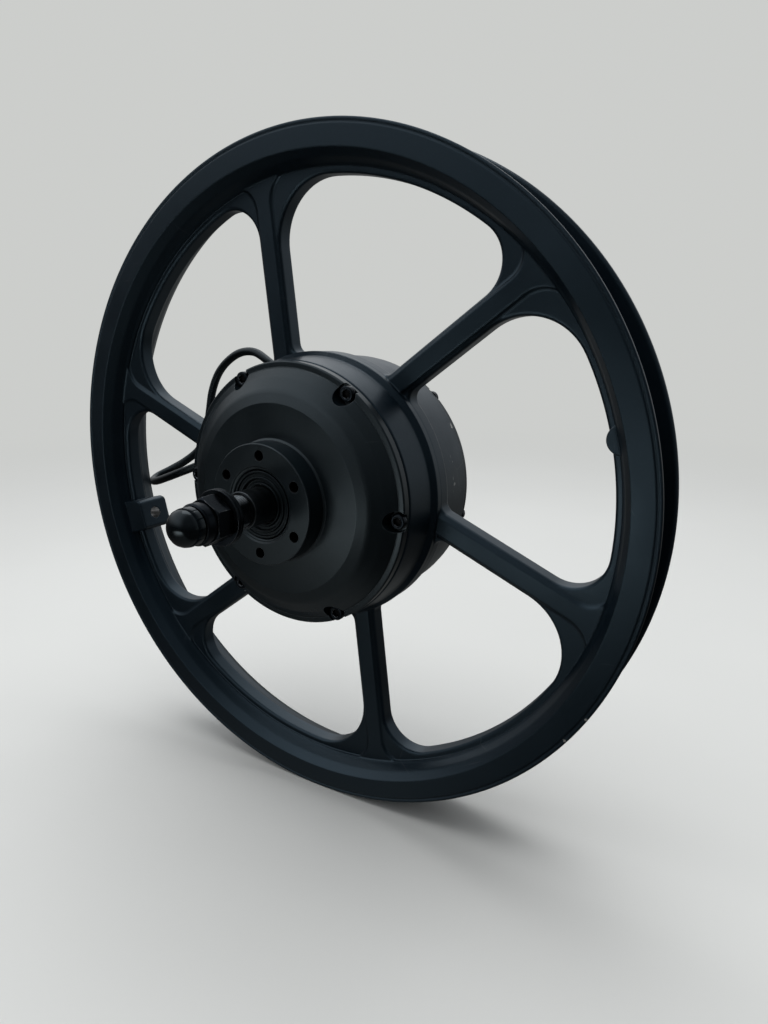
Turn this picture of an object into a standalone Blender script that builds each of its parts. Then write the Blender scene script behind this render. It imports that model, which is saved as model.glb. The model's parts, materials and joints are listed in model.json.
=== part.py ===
"""Hub motor wheel: a six-spoke cast wheel with a geared hub motor inside its drum.

The wheel's axis is Y, the brake-disc side is -Y, the cable side is +Y and Z is up.
Lengths are in millimetres until the meshes are made, and meshes are in metres.
"""

import math

import bpy
from mathutils import Matrix, Vector
from mathutils.geometry import tessellate_polygon

MM = 0.001

# Rim and spokes
RIM_OUTER_R = 161.0
RIM_HALF_WIDTH = 15.9
BARREL_R = 144.3
CREST_R = 141.1
WHEEL_SEGMENTS = 48
SPOKE_COUNT = 6
SPOKE_FIRST_DEG = 36.2
SPOKE_OFFSET = 16.0
SPOKE_WIDTH = 12.2
SPOKE_CHAMFER = 1.6
SPOKE_STEP_DEG = 60.0
SPOKE_ROOT_R = 63.4
WEB_OUTER_R = 145.2
WEB_INNER_R = 59.0
WEB_FRONT_Y = -4.9
WEB_REAR_Y = 3.9
RIB_FRONT_Y = -6.1
RIB_REAR_Y = 5.1
RIB_FACE_WIDTH = 7.4
RIB_FOOT_WIDTH = 11.2
RIB_FOOT_DEPTH = 0.4
RIB_START_R = 60.0
RIB_END_R = 145.3
RIB_FLARE_R = 13.0
RIB_FLARE_DEG = 72.0
RIB_FLARE_STEPS = 4
FILLET_AHEAD = 16.5
FILLET_BEHIND = 27.0
VALVE_DEG = 193.8
VALVE_HOLE_R = 3.3
VALVE_PAD_HALF_LENGTH = 9.5
VALVE_PAD_TOP_R = 131.7
VALVE_PAD_BASE_R = 147.5
BOSS_DEG = 13.5
BOSS_R = 6.25
BOSS_CENTRE_R = 146.2

# Hub drum and its covers
DRUM_BORE_R = 54.5
DRUM_FRONT_Y = -26.5
DRUM_REAR_Y = 27.3
COVER_SEGMENTS = 24
COVER_SCREW_COUNT = 6
COVER_SCREW_STEP_DEG = 60.0
COVER_SCREW_CIRCLE_R = 58.1
DISC_SCREW_DEG = 55.9
CABLE_SCREW_DEG = 46.0
SCREW_HEAD_R = 3.5
SCREW_SHANK_R = 1.8
SCREW_SOCKET_R = 1.7
SCREW_SOCKET_DEPTH = 1.6
SCREW_END_Y = 17.4
SCREW_HOLE_R = 2.1
SCREW_SEAT_R = 4.7
DISC_PATTERN_R = 22.0
DISC_PATTERN_DEG = 27.8
DISC_PATTERN_COUNT = 6
DISC_PATTERN_HOLE_R = 2.3

# Axle
AXLE_R = 7.0
AXLE_REAR_R = 8.3
THREAD_R = 6.0
FLAT_HALF = 5.0
SHOULDER_Y = 63.5
WASHER_Y = 74.5
NUT_Y = 78.0
NUT_COLLAR_Y = 86.0
CAP_Y = 91.4
CAP_TIP_Y = 101.5
AXLE_END_Y = 96.4

# Planetary gears: sun on the rotor, three planets, ring gear fixed in the drum
MODULE = 1.2
SUN_TEETH = 18
PLANET_TEETH = 27
RING_TEETH = 72
PRESSURE_DEG = 20.0
BACKLASH = 0.2
PLANET_CENTRE_R = MODULE * (SUN_TEETH + PLANET_TEETH) / 2
PLANET_DEGS = (90.0, 210.0, 330.0)
GEAR_FRONT_Y = -24.6
GEAR_REAR_Y = -11.4

# Motor
SLOTS = 18
STATOR_R = 45.6
STATOR_FRONT_Y = 0.0
STATOR_REAR_Y = 22.0

# Motor cable
CABLE_R = 2.5
CABLE_EXIT_Y = 57.0
CABLE_EXIT_DEG = 146.2
CABLE_ROUTE = (
    (-26.0, 57.0, 17.4),
    (-46.0, 57.2, 30.5),
    (-66.0, 57.6, 43.8),
    (-84.4, 58.5, 54.8),
    (-98.0, 61.0, 60.6),
    (-111.0, 62.4, 60.2),
    (-122.5, 62.8, 54.8),
    (-130.8, 62.0, 46.5),
    (-135.6, 60.5, 35.0),
    (-137.6, 59.0, 22.0),
    (-140.4, 58.0, 8.7),
    (-147.0, 57.0, -3.0),
    (-158.2, 55.0, -11.6),
    (-169.0, 51.0, -18.0),
    (-174.6, 44.5, -22.0),
    (-171.0, 37.0, -23.4),
    (-160.0, 30.6, -21.4),
    (-144.3, 26.4, -16.4),
    (-128.5, 26.0, -10.6),
    (-115.5, 31.0, -5.6),
    (-103.0, 40.5, -3.6),
    (-88.0, 51.0, -6.0),
    (-71.0, 59.5, -12.0),
    (-53.0, 64.5, -20.5),
    (-34.0, 66.0, -29.5),
    (-15.0, 65.5, -37.0),
)
PLUG_LENGTH = 34.0

COLOURS = {
    "satin_black_paint": ((0.016, 0.018, 0.022), 0.0, 0.42),
    "cover_black_paint": ((0.012, 0.015, 0.017), 0.0, 0.38),
    "blackened_steel": ((0.030, 0.030, 0.032), 0.9, 0.42),
    "bright_steel": ((0.42, 0.42, 0.43), 1.0, 0.32),
    "bearing_steel": ((0.56, 0.56, 0.57), 1.0, 0.22),
    "black_rubber": ((0.012, 0.012, 0.012), 0.0, 0.62),
    "black_moulding": ((0.018, 0.018, 0.019), 0.0, 0.35),
    "gear_nylon": ((0.74, 0.72, 0.64), 0.0, 0.45),
    "cast_aluminium": ((0.52, 0.52, 0.52), 1.0, 0.45),
    "copper_winding": ((0.55, 0.22, 0.10), 1.0, 0.38),
    "core_steel": ((0.22, 0.22, 0.23), 1.0, 0.50),
    "magnet_nickel": ((0.50, 0.49, 0.46), 1.0, 0.30),
    "circuit_board": ((0.02, 0.16, 0.06), 0.0, 0.45),
}


def clear_scene():
    for obj in list(bpy.data.objects):
        bpy.data.objects.remove(obj, do_unlink=True)


def own_material(node, finish):
    """A Principled material of the node's own, from one of the named finishes."""
    colour, metallic, roughness = COLOURS[finish]
    mat = bpy.data.materials.new(node)
    mat.use_nodes = True
    shader = mat.node_tree.nodes["Principled BSDF"]
    shader.inputs["Base Color"].default_value = (*colour, 1.0)
    shader.inputs["Metallic"].default_value = metallic
    shader.inputs["Roughness"].default_value = roughness
    return mat


def signed_volume(verts, faces):
    total = 0.0
    for face in faces:
        a = verts[face[0]]
        for i in range(1, len(face) - 1):
            total += a.dot(verts[face[i]].cross(verts[face[i + 1]]))
    return total


def solid(name, verts, faces, finish, place=None, centre=(0.0, 0.0, 0.0)):
    """A closed mesh object from millimetre points, with its faces turned outwards.

    centre is the object's origin, in millimetres: the axis point of a moving piece.
    """
    points = [place @ Vector(v) if place else Vector(v) for v in verts]
    if signed_volume(points, faces) < 0:
        faces = [tuple(reversed(face)) for face in faces]
    origin = Vector(centre)
    mesh = bpy.data.meshes.new(name)
    mesh.from_pydata([(p - origin) * MM for p in points], [], faces)
    mesh.validate()
    mesh.shade_smooth()
    mesh.set_sharp_from_angle(angle=math.radians(32))
    obj = bpy.data.objects.new(name, mesh)
    obj.location = origin * MM
    bpy.context.scene.collection.objects.link(obj)
    mesh.materials.append(own_material(name, finish))
    return obj


def polar(r, degrees, y):
    a = math.radians(degrees)
    return (r * math.cos(a), y, r * math.sin(a))


def lathe_data(profile, segments, turn=0.0, flats=None):
    """A closed (radius, y) profile turned about Y.

    flats, a set of profile indices, marks points whose radius is half a hexagon's width.
    """
    flats = flats or set()
    verts = []
    rows = []
    for i, (r, y) in enumerate(profile):
        if r < 1e-6:
            rows.append([len(verts)])
            verts.append((0.0, y, 0.0))
            continue
        row = []
        for k in range(segments):
            deg = 360.0 * k / segments
            reach = r
            if i in flats:
                reach = r / math.cos(math.radians(deg % 60.0 - 30.0))
            row.append(len(verts))
            verts.append(polar(reach, deg + turn, y))
        rows.append(row)
    faces = []
    for i, row in enumerate(rows):
        other = rows[(i + 1) % len(rows)]
        if len(row) == 1 and len(other) == 1:
            continue
        for k in range(segments):
            n = (k + 1) % segments
            if len(row) == 1:
                faces.append((row[0], other[k], other[n]))
            elif len(other) == 1:
                faces.append((row[k], other[0], row[n]))
            else:
                faces.append((row[k], other[k], other[n], row[n]))
    return verts, faces


def lathe(name, profile, segments, finish, place=None, turn=0.0, flats=None, centre=(0, 0, 0)):
    verts, faces = lathe_data(profile, segments, turn, flats)
    return solid(name, verts, faces, finish, place, centre)


def ring(name, inner_r, outer_r, y0, y1, segments, finish, centre=(0, 0, 0)):
    shift = Matrix.Translation(Vector((centre[0], 0.0, centre[2])))
    profile = [(inner_r, y0), (outer_r, y0), (outer_r, y1), (inner_r, y1)]
    return lathe(name, profile, segments, finish, shift, centre=centre)


def rod(name, r, y0, y1, segments, finish, place=None, centre=(0, 0, 0)):
    profile = [(0.0, y0), (r, y0), (r, y1), (0.0, y1)]
    return lathe(name, profile, segments, finish, place, centre=centre)


def plate_data(outer, holes, y0, y1):
    """A flat plate between y0 and y1 with an (x, z) outline and holes."""
    loops = [outer] + list(holes)
    flat = [point for loop in loops for point in loop]
    caps = tessellate_polygon([[Vector((x, z, 0.0)) for x, z in loop] for loop in loops])
    verts = [(x, y0, z) for x, z in flat] + [(x, y1, z) for x, z in flat]
    count = len(flat)
    faces = []
    for a, b, c in caps:
        pa, pb, pc = flat[a], flat[b], flat[c]
        turn = (pb[0] - pa[0]) * (pc[1] - pa[1]) - (pb[1] - pa[1]) * (pc[0] - pa[0])
        if turn < 0:
            b, c = c, b
        faces.append((a, b, c))
        faces.append((a + count, c + count, b + count))
    start = 0
    for index, loop in enumerate(loops):
        n = len(loop)
        area = sum(loop[i][0] * loop[(i + 1) % n][1] - loop[(i + 1) % n][0] * loop[i][1]
                   for i in range(n))
        with_clock = (area < 0) != (index > 0)
        for i in range(n):
            a = start + i
            b = start + (i + 1) % n
            if with_clock:
                a, b = b, a
            faces.append((a, a + count, b + count, b))
        start += n
    return verts, faces


def plate(name, outer, holes, y0, y1, finish, place=None, centre=(0, 0, 0)):
    verts, faces = plate_data(outer, holes, y0, y1)
    return solid(name, verts, faces, finish, place, centre)


def circle(r, segments, x=0.0, z=0.0, turn=0.0):
    points = []
    for k in range(segments):
        a = math.radians(turn) + 2 * math.pi * k / segments
        points.append((x + r * math.cos(a), z + r * math.sin(a)))
    return points


def combined(name, shapes, finish="blackened_steel"):
    """One helper mesh from several (verts, faces) shapes that don't touch each other."""
    verts = []
    faces = []
    for shape_verts, shape_faces in shapes:
        base = len(verts)
        points = [Vector(v) for v in shape_verts]
        if signed_volume(points, shape_faces) < 0:
            shape_faces = [tuple(reversed(face)) for face in shape_faces]
        verts.extend(shape_verts)
        faces.extend(tuple(base + i for i in face) for face in shape_faces)
    return solid(name, verts, faces, finish)


def moved(data, place):
    verts, faces = data
    return [tuple(place @ Vector(v)) for v in verts], faces


def at(r, degrees, y=0.0):
    """Places a shape modelled round Y on a circle of radius r about the wheel's axis."""
    return Matrix.Translation(Vector(polar(r, degrees, y)))


def facing(degrees, y=0.0):
    """Turns a shape modelled along Y so that its +Y end points outwards from the axis."""
    out = Vector(polar(1.0, degrees, 0.0))
    along = Vector((0.0, 1.0, 0.0))
    turn = along.rotation_difference(out).to_matrix().to_4x4()
    return Matrix.Translation(Vector((0.0, y, 0.0))) @ turn


def boolean(target, helper, operation):
    step = target.modifiers.new(helper.name, "BOOLEAN")
    step.object = helper
    step.operation = operation
    step.solver = "EXACT"
    helper.hide_render = True
    helper.display_type = "WIRE"


def cut(target, helper):
    boolean(target, helper, "DIFFERENCE")


def join(target, helper):
    boolean(target, helper, "UNION")


def body_axis(name, centre=(0.0, 0.0, 0.0)):
    """An empty on a joint's axis, which the body's pieces hang from."""
    empty = bpy.data.objects.new(name, None)
    empty.location = Vector(centre) * MM
    empty.empty_display_size = 0.02
    bpy.context.scene.collection.objects.link(empty)
    return empty


def hang(axis, pieces):
    for piece in pieces:
        piece.parent = axis
        piece.matrix_parent_inverse = Matrix.Translation(axis.location).inverted()


# ---------------------------------------------------------------- wheel casting


def window_outline(index, grow):
    """One opening between two spokes as (x, z) points, grown outwards by grow."""
    ahead = math.radians(SPOKE_FIRST_DEG + SPOKE_STEP_DEG * index)
    behind = ahead + math.radians(SPOKE_STEP_DEG)
    near = SPOKE_OFFSET + SPOKE_WIDTH / 2
    far = SPOKE_OFFSET - SPOKE_WIDTH / 2

    def spoke_point(angle, side, along):
        u = Vector((math.cos(angle), math.sin(angle)))
        n = Vector((-math.sin(angle), math.cos(angle)))
        return n * side + u * along

    def left_of(angle):
        return Vector((-math.sin(angle), math.cos(angle)))

    points = []

    def add(point, outward):
        p = point + outward * grow
        points.append((p.x, p.y))

    def arc(centre, start, end, radius, steps):
        first = math.atan2((start - centre).y, (start - centre).x)
        sweep = math.atan2((end - centre).y, (end - centre).x) - first
        sweep = (sweep + math.pi) % (2 * math.pi) - math.pi
        for k in range(steps + 1):
            a = first + sweep * k / steps
            direction = Vector((math.cos(a), math.sin(a)))
            add(centre + direction * radius, direction)

    along = math.sqrt(SPOKE_ROOT_R**2 - near**2)
    add(spoke_point(ahead, near, along), -left_of(ahead))
    along = math.sqrt((CREST_R - FILLET_AHEAD) ** 2 - (near + FILLET_AHEAD) ** 2)
    centre = spoke_point(ahead, near + FILLET_AHEAD, along)
    touch = centre * (CREST_R / centre.length)
    arc(centre, spoke_point(ahead, near, along), touch, FILLET_AHEAD, 4)
    first = math.degrees(math.atan2(touch.y, touch.x))
    along = math.sqrt((CREST_R - FILLET_BEHIND) ** 2 - (far - FILLET_BEHIND) ** 2)
    centre = spoke_point(behind, far - FILLET_BEHIND, along)
    touch = centre * (CREST_R / centre.length)
    last = math.degrees(math.atan2(touch.y, touch.x))
    sweep = (last - first) % 360.0
    for k in (1, 2):
        a = math.radians(first + sweep * k / 3)
        direction = Vector((math.cos(a), math.sin(a)))
        add(direction * CREST_R, direction)
    arc(centre, touch, spoke_point(behind, far, along), FILLET_BEHIND, 5)
    along = math.sqrt(SPOKE_ROOT_R**2 - far**2)
    end = spoke_point(behind, far, along)
    add(end, left_of(behind))
    start = spoke_point(ahead, near, math.sqrt(SPOKE_ROOT_R**2 - near**2))
    first = math.degrees(math.atan2(end.y, end.x))
    sweep = (first - math.degrees(math.atan2(start.y, start.x))) % 360.0
    for k in (1, 2):
        a = math.radians(first - sweep * k / 3)
        direction = Vector((math.cos(a), math.sin(a)))
        add(direction * SPOKE_ROOT_R, -direction)
    return points


def web_data():
    """The spoke plate: six chamfered openings in a disc that ends inside drum and rim."""
    levels = (
        (WEB_FRONT_Y, SPOKE_CHAMFER),
        (WEB_FRONT_Y + SPOKE_CHAMFER, 0.0),
        (WEB_REAR_Y - SPOKE_CHAMFER, 0.0),
        (WEB_REAR_Y, SPOKE_CHAMFER),
    )
    outer = circle(WEB_OUTER_R, WHEEL_SEGMENTS)
    inner = circle(WEB_INNER_R, WHEEL_SEGMENTS)
    verts = []
    faces = []

    def tube(loops, outwards):
        rows = []
        for loop, y in loops:
            rows.append(range(len(verts), len(verts) + len(loop)))
            verts.extend((x, y, z) for x, z in loop)
        for low, high in zip(rows, rows[1:]):
            n = len(low)
            for i in range(n):
                j = (i + 1) % n
                if outwards:
                    faces.append((low[i], high[i], high[j], low[j]))
                else:
                    faces.append((low[i], low[j], high[j], high[i]))
        return rows[0], rows[-1]

    ends = [tube([(outer, WEB_FRONT_Y), (outer, WEB_REAR_Y)], True)]
    ends.append(tube([(inner, WEB_FRONT_Y), (inner, WEB_REAR_Y)], False))
    for index in range(SPOKE_COUNT):
        loops = [(window_outline(index, grow), y) for y, grow in levels]
        ends.append(tube(loops, False))
    for side in (0, 1):
        names = [i for pair in ends for i in pair[side]]
        loops = [[Vector((verts[i][0], verts[i][2], 0.0)) for i in pair[side]] for pair in ends]
        for a, b, c in tessellate_polygon(loops):
            pa, pb, pc = (verts[names[i]] for i in (a, b, c))
            turn = (pb[0] - pa[0]) * (pc[2] - pa[2]) - (pb[2] - pa[2]) * (pc[0] - pa[0])
            if (turn < 0) != (side == 1):
                b, c = c, b
            faces.append((names[a], names[b], names[c]))
    return verts, faces


def rib_stations():
    """Radii along a rib, each with how far both its sides have swept outwards there."""
    reach = RIB_FLARE_R * math.sin(math.radians(RIB_FLARE_DEG))
    stations = [(RIB_START_R, 0.0)]
    for k in range(RIB_FLARE_STEPS + 1):
        turn = math.radians(RIB_FLARE_DEG * k / RIB_FLARE_STEPS)
        r = RIB_END_R - reach + RIB_FLARE_R * math.sin(turn)
        stations.append((r, RIB_FLARE_R * (1.0 - math.cos(turn))))
    return stations


def spoke_rib(index):
    """The rib that stands on the plate along one spoke; it flares out where it meets the rim."""
    angle = math.radians(SPOKE_FIRST_DEG + SPOKE_STEP_DEG * index)
    face = RIB_FACE_WIDTH / 2
    foot = RIB_FOOT_WIDTH / 2
    front = WEB_FRONT_Y + RIB_FOOT_DEPTH
    rear = WEB_REAR_Y - RIB_FOOT_DEPTH
    section = (
        (-face, RIB_FRONT_Y), (face, RIB_FRONT_Y), (foot, front), (foot, rear),
        (face, RIB_REAR_Y), (-face, RIB_REAR_Y), (-foot, rear), (-foot, front),
    )
    stations = rib_stations()
    verts = []
    for r, flare in stations:
        for offset, y in section:
            side = SPOKE_OFFSET + offset + math.copysign(flare, offset)
            along = math.sqrt(r**2 - side**2)
            verts.append((
                math.cos(angle) * along - math.sin(angle) * side, y,
                math.sin(angle) * along + math.cos(angle) * side,
            ))
    n = len(section)
    last = n * (len(stations) - 1)
    faces = [
        (k + i, k + (i + 1) % n, k + n + (i + 1) % n, k + n + i)
        for k in range(0, last, n) for i in range(n)
    ]
    faces.append(tuple(reversed(range(n))))
    faces.append(tuple(range(last, last + n)))
    return verts, faces


def wheel_casting():
    rim = lathe("wheel_casting", [
        (149.6, -RIM_HALF_WIDTH), (160.1, -RIM_HALF_WIDTH), (RIM_OUTER_R, -14.9),
        (160.3, -12.9), (160.3, 12.9), (RIM_OUTER_R, 14.9), (160.1, RIM_HALF_WIDTH),
        (149.6, RIM_HALF_WIDTH),
        (146.6, 11.2), (BARREL_R + 0.3, 6.0), (BARREL_R, 4.0),
        (BARREL_R, -5.0), (BARREL_R + 0.3, -7.0), (146.6, -11.5),
    ], WHEEL_SEGMENTS, "satin_black_paint")
    web_verts, web_faces = web_data()
    join(rim, solid("spoke_plate", web_verts, web_faces, "satin_black_paint"))
    ribs = [spoke_rib(index) for index in range(SPOKE_COUNT)]
    join(rim, combined("spoke_ribs", ribs, "satin_black_paint"))
    join(rim, lathe("drum", [
        (DRUM_BORE_R, DRUM_FRONT_Y), (61.2, DRUM_FRONT_Y), (61.7, -26.0), (62.9, -10.0),
        (65.0, -7.4), (64.5, 2.4), (63.2, 3.6), (61.7, 26.8), (61.2, DRUM_REAR_Y),
        (DRUM_BORE_R, DRUM_REAR_Y),
    ], WHEEL_SEGMENTS, "satin_black_paint"))
    pad_outline = [
        (-9.0, VALVE_PAD_BASE_R), (-9.0, 134.4), (-8.3, 132.5), (-6.6, VALVE_PAD_TOP_R),
        (6.6, VALVE_PAD_TOP_R), (8.3, 132.5), (9.0, 134.4), (9.0, VALVE_PAD_BASE_R),
    ]
    upright = Matrix.Rotation(math.radians(90.0 - VALVE_DEG), 4, "Y")
    join(rim, plate("valve_pad", pad_outline, [], -VALVE_PAD_HALF_LENGTH,
                    VALVE_PAD_HALF_LENGTH, "satin_black_paint", upright))
    join(rim, rod("balance_boss", BOSS_R, -7.2, 6.6, 16, "satin_black_paint",
                  at(BOSS_CENTRE_R, BOSS_DEG)))
    cut(rim, lathe("tyre_channel", [
        (152.6, -12.9), (170.0, -12.9), (170.0, 12.9), (152.6, 12.9), (151.9, 7.6),
        (146.2, 4.6), (145.7, 3.6), (145.7, -3.6), (146.2, -4.6), (151.9, -7.6),
    ], WHEEL_SEGMENTS, "satin_black_paint"))
    cut(rim, rod("valve_hole", VALVE_HOLE_R, 125.0, 155.0, 16, "satin_black_paint",
                 facing(VALVE_DEG)))
    holes = []
    for k in range(COVER_SCREW_COUNT):
        turn = COVER_SCREW_STEP_DEG * k
        front = lathe_data([
            (0, -30.0), (SCREW_HOLE_R, -30.0), (SCREW_HOLE_R, -16.0), (0, -16.0),
        ], 8)
        rear = lathe_data([
            (0, 17.0), (SCREW_HOLE_R, 17.0), (SCREW_HOLE_R, 30.0), (0, 30.0),
        ], 8)
        holes.append(moved(front, at(COVER_SCREW_CIRCLE_R, DISC_SCREW_DEG + turn)))
        holes.append(moved(rear, at(COVER_SCREW_CIRCLE_R, CABLE_SCREW_DEG + turn)))
    cut(rim, combined("drum_screw_holes", holes))
    return rim


# ---------------------------------------------------------------- hub covers


def cover_cutters(name, first_deg, sign, floor_y):
    """Six screw holes with spot-faced seats that open through the cover's bevel."""
    shapes = []
    profile = [
        (0, 20.0), (SCREW_HOLE_R, 20.0), (SCREW_HOLE_R, floor_y), (SCREW_SEAT_R, floor_y),
        (SCREW_SEAT_R, 45.0), (0, 45.0),
    ]
    for k in range(COVER_SCREW_COUNT):
        hole = lathe_data([(r, sign * y) for r, y in profile], 8)
        turn = first_deg + COVER_SCREW_STEP_DEG * k
        shapes.append(moved(hole, at(COVER_SCREW_CIRCLE_R, turn)))
    return combined(name, shapes)


def disc_side_cover():
    cover = lathe("disc_side_cover", [
        (15.5, -46.6), (15.5, -50.6), (16.9, -51.8), (26.8, -51.8), (27.3, -51.3),
        (27.3, -41.7), (27.9, -41.2), (43.6, -41.0), (49.0, -39.2), (54.4, -35.2),
        (58.2, -31.6), (59.0, -31.0), (60.8, -31.0), (61.3, -30.5), (61.3, -26.9),
        (54.0, -26.9), (54.0, -25.2), (51.4, -25.2), (50.2, -31.0), (43.0, -37.3),
        (12.6, -37.3), (12.6, -39.2), (14.3, -39.2), (14.3, -46.6),
    ], COVER_SEGMENTS, "cover_black_paint")
    cut(cover, cover_cutters("disc_cover_holes", DISC_SCREW_DEG, -1.0, 28.5))
    holes = []
    for k in range(DISC_PATTERN_COUNT):
        hole = lathe_data([
            (0, -60.0), (DISC_PATTERN_HOLE_R, -60.0), (DISC_PATTERN_HOLE_R, -42.6), (0, -42.6),
        ], 8)
        turn = DISC_PATTERN_DEG + 360.0 * k / DISC_PATTERN_COUNT
        holes.append(moved(hole, at(DISC_PATTERN_R, turn)))
    cut(cover, combined("brake_disc_holes", holes))
    return cover


def cable_side_cover():
    cover = lathe("cable_side_cover", [
        (15.3, 50.4), (21.4, 50.4), (22.0, 49.8), (22.0, 42.0), (23.2, 40.8),
        (43.6, 40.6), (49.0, 39.0), (54.4, 35.0), (58.2, 31.4), (59.0, 30.8),
        (60.7, 30.8), (61.2, 30.3), (61.2, 27.7), (54.0, 27.7), (54.0, 26.0),
        (51.4, 26.0), (50.2, 31.0), (43.0, 36.8), (13.2, 36.8), (13.2, 38.4), (15.3, 38.4),
    ], COVER_SEGMENTS, "cover_black_paint")
    cut(cover, cover_cutters("cable_cover_holes", CABLE_SCREW_DEG, 1.0, 29.4))
    return cover


def cover_screw(name, degrees, sign, seat_y, top_y):
    """A low-head socket screw; its head stands on seat_y and ends at top_y."""
    profile = [
        (0.0, SCREW_END_Y), (SCREW_SHANK_R, SCREW_END_Y), (SCREW_SHANK_R, seat_y),
        (SCREW_HEAD_R, seat_y), (SCREW_HEAD_R, top_y), (SCREW_SOCKET_R, top_y),
        (SCREW_SOCKET_R, top_y - SCREW_SOCKET_DEPTH), (0.0, top_y - SCREW_SOCKET_DEPTH),
    ]
    return lathe(name, [(r, sign * y) for r, y in profile], 8, "blackened_steel",
                 at(COVER_SCREW_CIRCLE_R, degrees))


# ---------------------------------------------------------------- gears


def involute(angle):
    return math.tan(angle) - angle


def flank_half_angle(teeth, r, slack):
    """Half the angle of a tooth at radius r, in radians; slack widens or thins it."""
    pitch_r = MODULE * teeth / 2
    base_r = pitch_r * math.cos(math.radians(PRESSURE_DEG))
    start = math.pi / (2 * teeth) + slack / (2 * pitch_r) + involute(math.radians(PRESSURE_DEG))
    return start - involute(math.acos(min(1.0, base_r / r)))


def tooth_outline(teeth, low_r, high_r, slack, turn):
    low = flank_half_angle(teeth, low_r, slack)
    high = flank_half_angle(teeth, high_r, slack)
    points = []
    for k in range(teeth):
        middle = math.radians(turn) + 2 * math.pi * k / teeth
        for r, a in ((low_r, -low), (high_r, -high), (high_r, high), (low_r, low)):
            points.append((r * math.cos(middle + a), r * math.sin(middle + a)))
    return points


def gear_outline(teeth, turn):
    pitch_r = MODULE * teeth / 2
    return tooth_outline(teeth, pitch_r - 1.25 * MODULE, pitch_r + 0.95 * MODULE, -BACKLASH, turn)


def ring_gear():
    pitch_r = MODULE * RING_TEETH / 2
    spaces = tooth_outline(RING_TEETH, pitch_r - 0.9 * MODULE, pitch_r + 1.25 * MODULE,
                           BACKLASH, 90.0)
    return plate("ring_gear", circle(54.1, 36), [spaces], -24.8, -10.8,
                 "core_steel")


def sun_gear():
    sun = plate("sun_gear", gear_outline(SUN_TEETH, 10.0), [circle(7.4, 12)],
                GEAR_FRONT_Y, -9.0, "bright_steel")
    join(sun, ring("sun_flange", 7.4, 13.6, -11.0, -7.9, 12, "bright_steel"))
    return sun


def planet_gear(index):
    centre = polar(PLANET_CENTRE_R, PLANET_DEGS[index], 0.0)
    turn = 10.0 + PLANET_DEGS[index] - 90.0
    shift = Matrix.Translation(Vector((centre[0], 0.0, centre[2])))
    return plate(f"planet_gear_{index + 1}", gear_outline(PLANET_TEETH, turn),
                 [circle(4.08, 20)], GEAR_FRONT_Y, GEAR_REAR_Y, "gear_nylon", shift,
                 (centre[0], (GEAR_FRONT_Y + GEAR_REAR_Y) / 2, centre[2]))


def planet_carrier():
    outline = []
    for base in PLANET_DEGS:
        x, _, z = polar(PLANET_CENTRE_R, base, 0.0)
        for k in range(7):
            a = math.radians(base - 90.0 + 30.0 * k)
            outline.append((x + 7.5 * math.cos(a), z + 7.5 * math.sin(a)))
        a = math.radians(base + 60.0)
        outline.append((19.0 * math.cos(a), 19.0 * math.sin(a)))
    pins = [circle(4.2, 12, *[polar(PLANET_CENTRE_R, d, 0)[i] for i in (0, 2)])
            for d in PLANET_DEGS]
    carrier = plate("planet_carrier", outline, pins + [circle(14.2, 24)], -31.0, -25.2,
                    "cast_aluminium")
    join(carrier, ring("carrier_hub", 14.2, 18.4, -36.0, -27.0, 24, "cast_aluminium"))
    return carrier


# ---------------------------------------------------------------- motor


def stator_core():
    outline = []
    pitch = 360.0 / SLOTS
    for k in range(SLOTS):
        middle = pitch * k
        tooth = ((27.5, 4.4), (43.0, 3.0), (43.8, 8.6), (STATOR_R, 8.6))
        for r, deg in tooth:
            a = math.radians(middle - deg)
            outline.append((r * math.cos(a), r * math.sin(a)))
        for r, deg in reversed(tooth):
            a = math.radians(middle + deg)
            outline.append((r * math.cos(a), r * math.sin(a)))
    return plate("stator_core", outline, [circle(20.6, 24)], STATOR_FRONT_Y, STATOR_REAR_Y,
                 "core_steel")


def stator_windings():
    """The coils as one piece: a bar in each slot and a crown of end turns on each side."""
    windings = ring("stator_windings", 28.2, 42.6, 22.4, 25.4, SLOTS, "copper_winding")
    join(windings, ring("front_end_turns", 28.2, 42.6, -3.2, -0.4, SLOTS, "copper_winding"))
    bars = []
    for k in range(SLOTS):
        turn = 360.0 / SLOTS * (k + 0.5)
        outline = []
        for r, half in ((29.5, 2.0), (41.0, 4.4)):
            outline.append((r, -half))
        for r, half in ((41.0, 4.4), (29.5, 2.0)):
            outline.append((r, half))
        bars.append(moved(plate_data(outline, [], -1.0, 23.0),
                          Matrix.Rotation(math.radians(-turn), 4, "Y")))
    join(windings, combined("slot_bars", bars, "copper_winding"))
    return windings


def hall_board():
    outline = []
    for k in range(9):
        a = math.radians(205.0 + 130.0 * k / 8)
        outline.append((39.0 * math.cos(a), 39.0 * math.sin(a)))
    for k in range(9):
        a = math.radians(335.0 - 130.0 * k / 8)
        outline.append((24.0 * math.cos(a), 24.0 * math.sin(a)))
    return plate("hall_sensor_board", outline, [], 27.0, 28.6, "circuit_board")


def rotor_bell():
    return lathe("rotor_bell", [
        (14.3, -7.5), (52.6, -7.5), (52.6, 24.0), (49.5, 24.0), (49.5, -4.5),
        (17.8, -4.5), (17.8, 8.5), (14.3, 8.5),
    ], 32, "core_steel")


# ---------------------------------------------------------------- bearings


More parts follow.
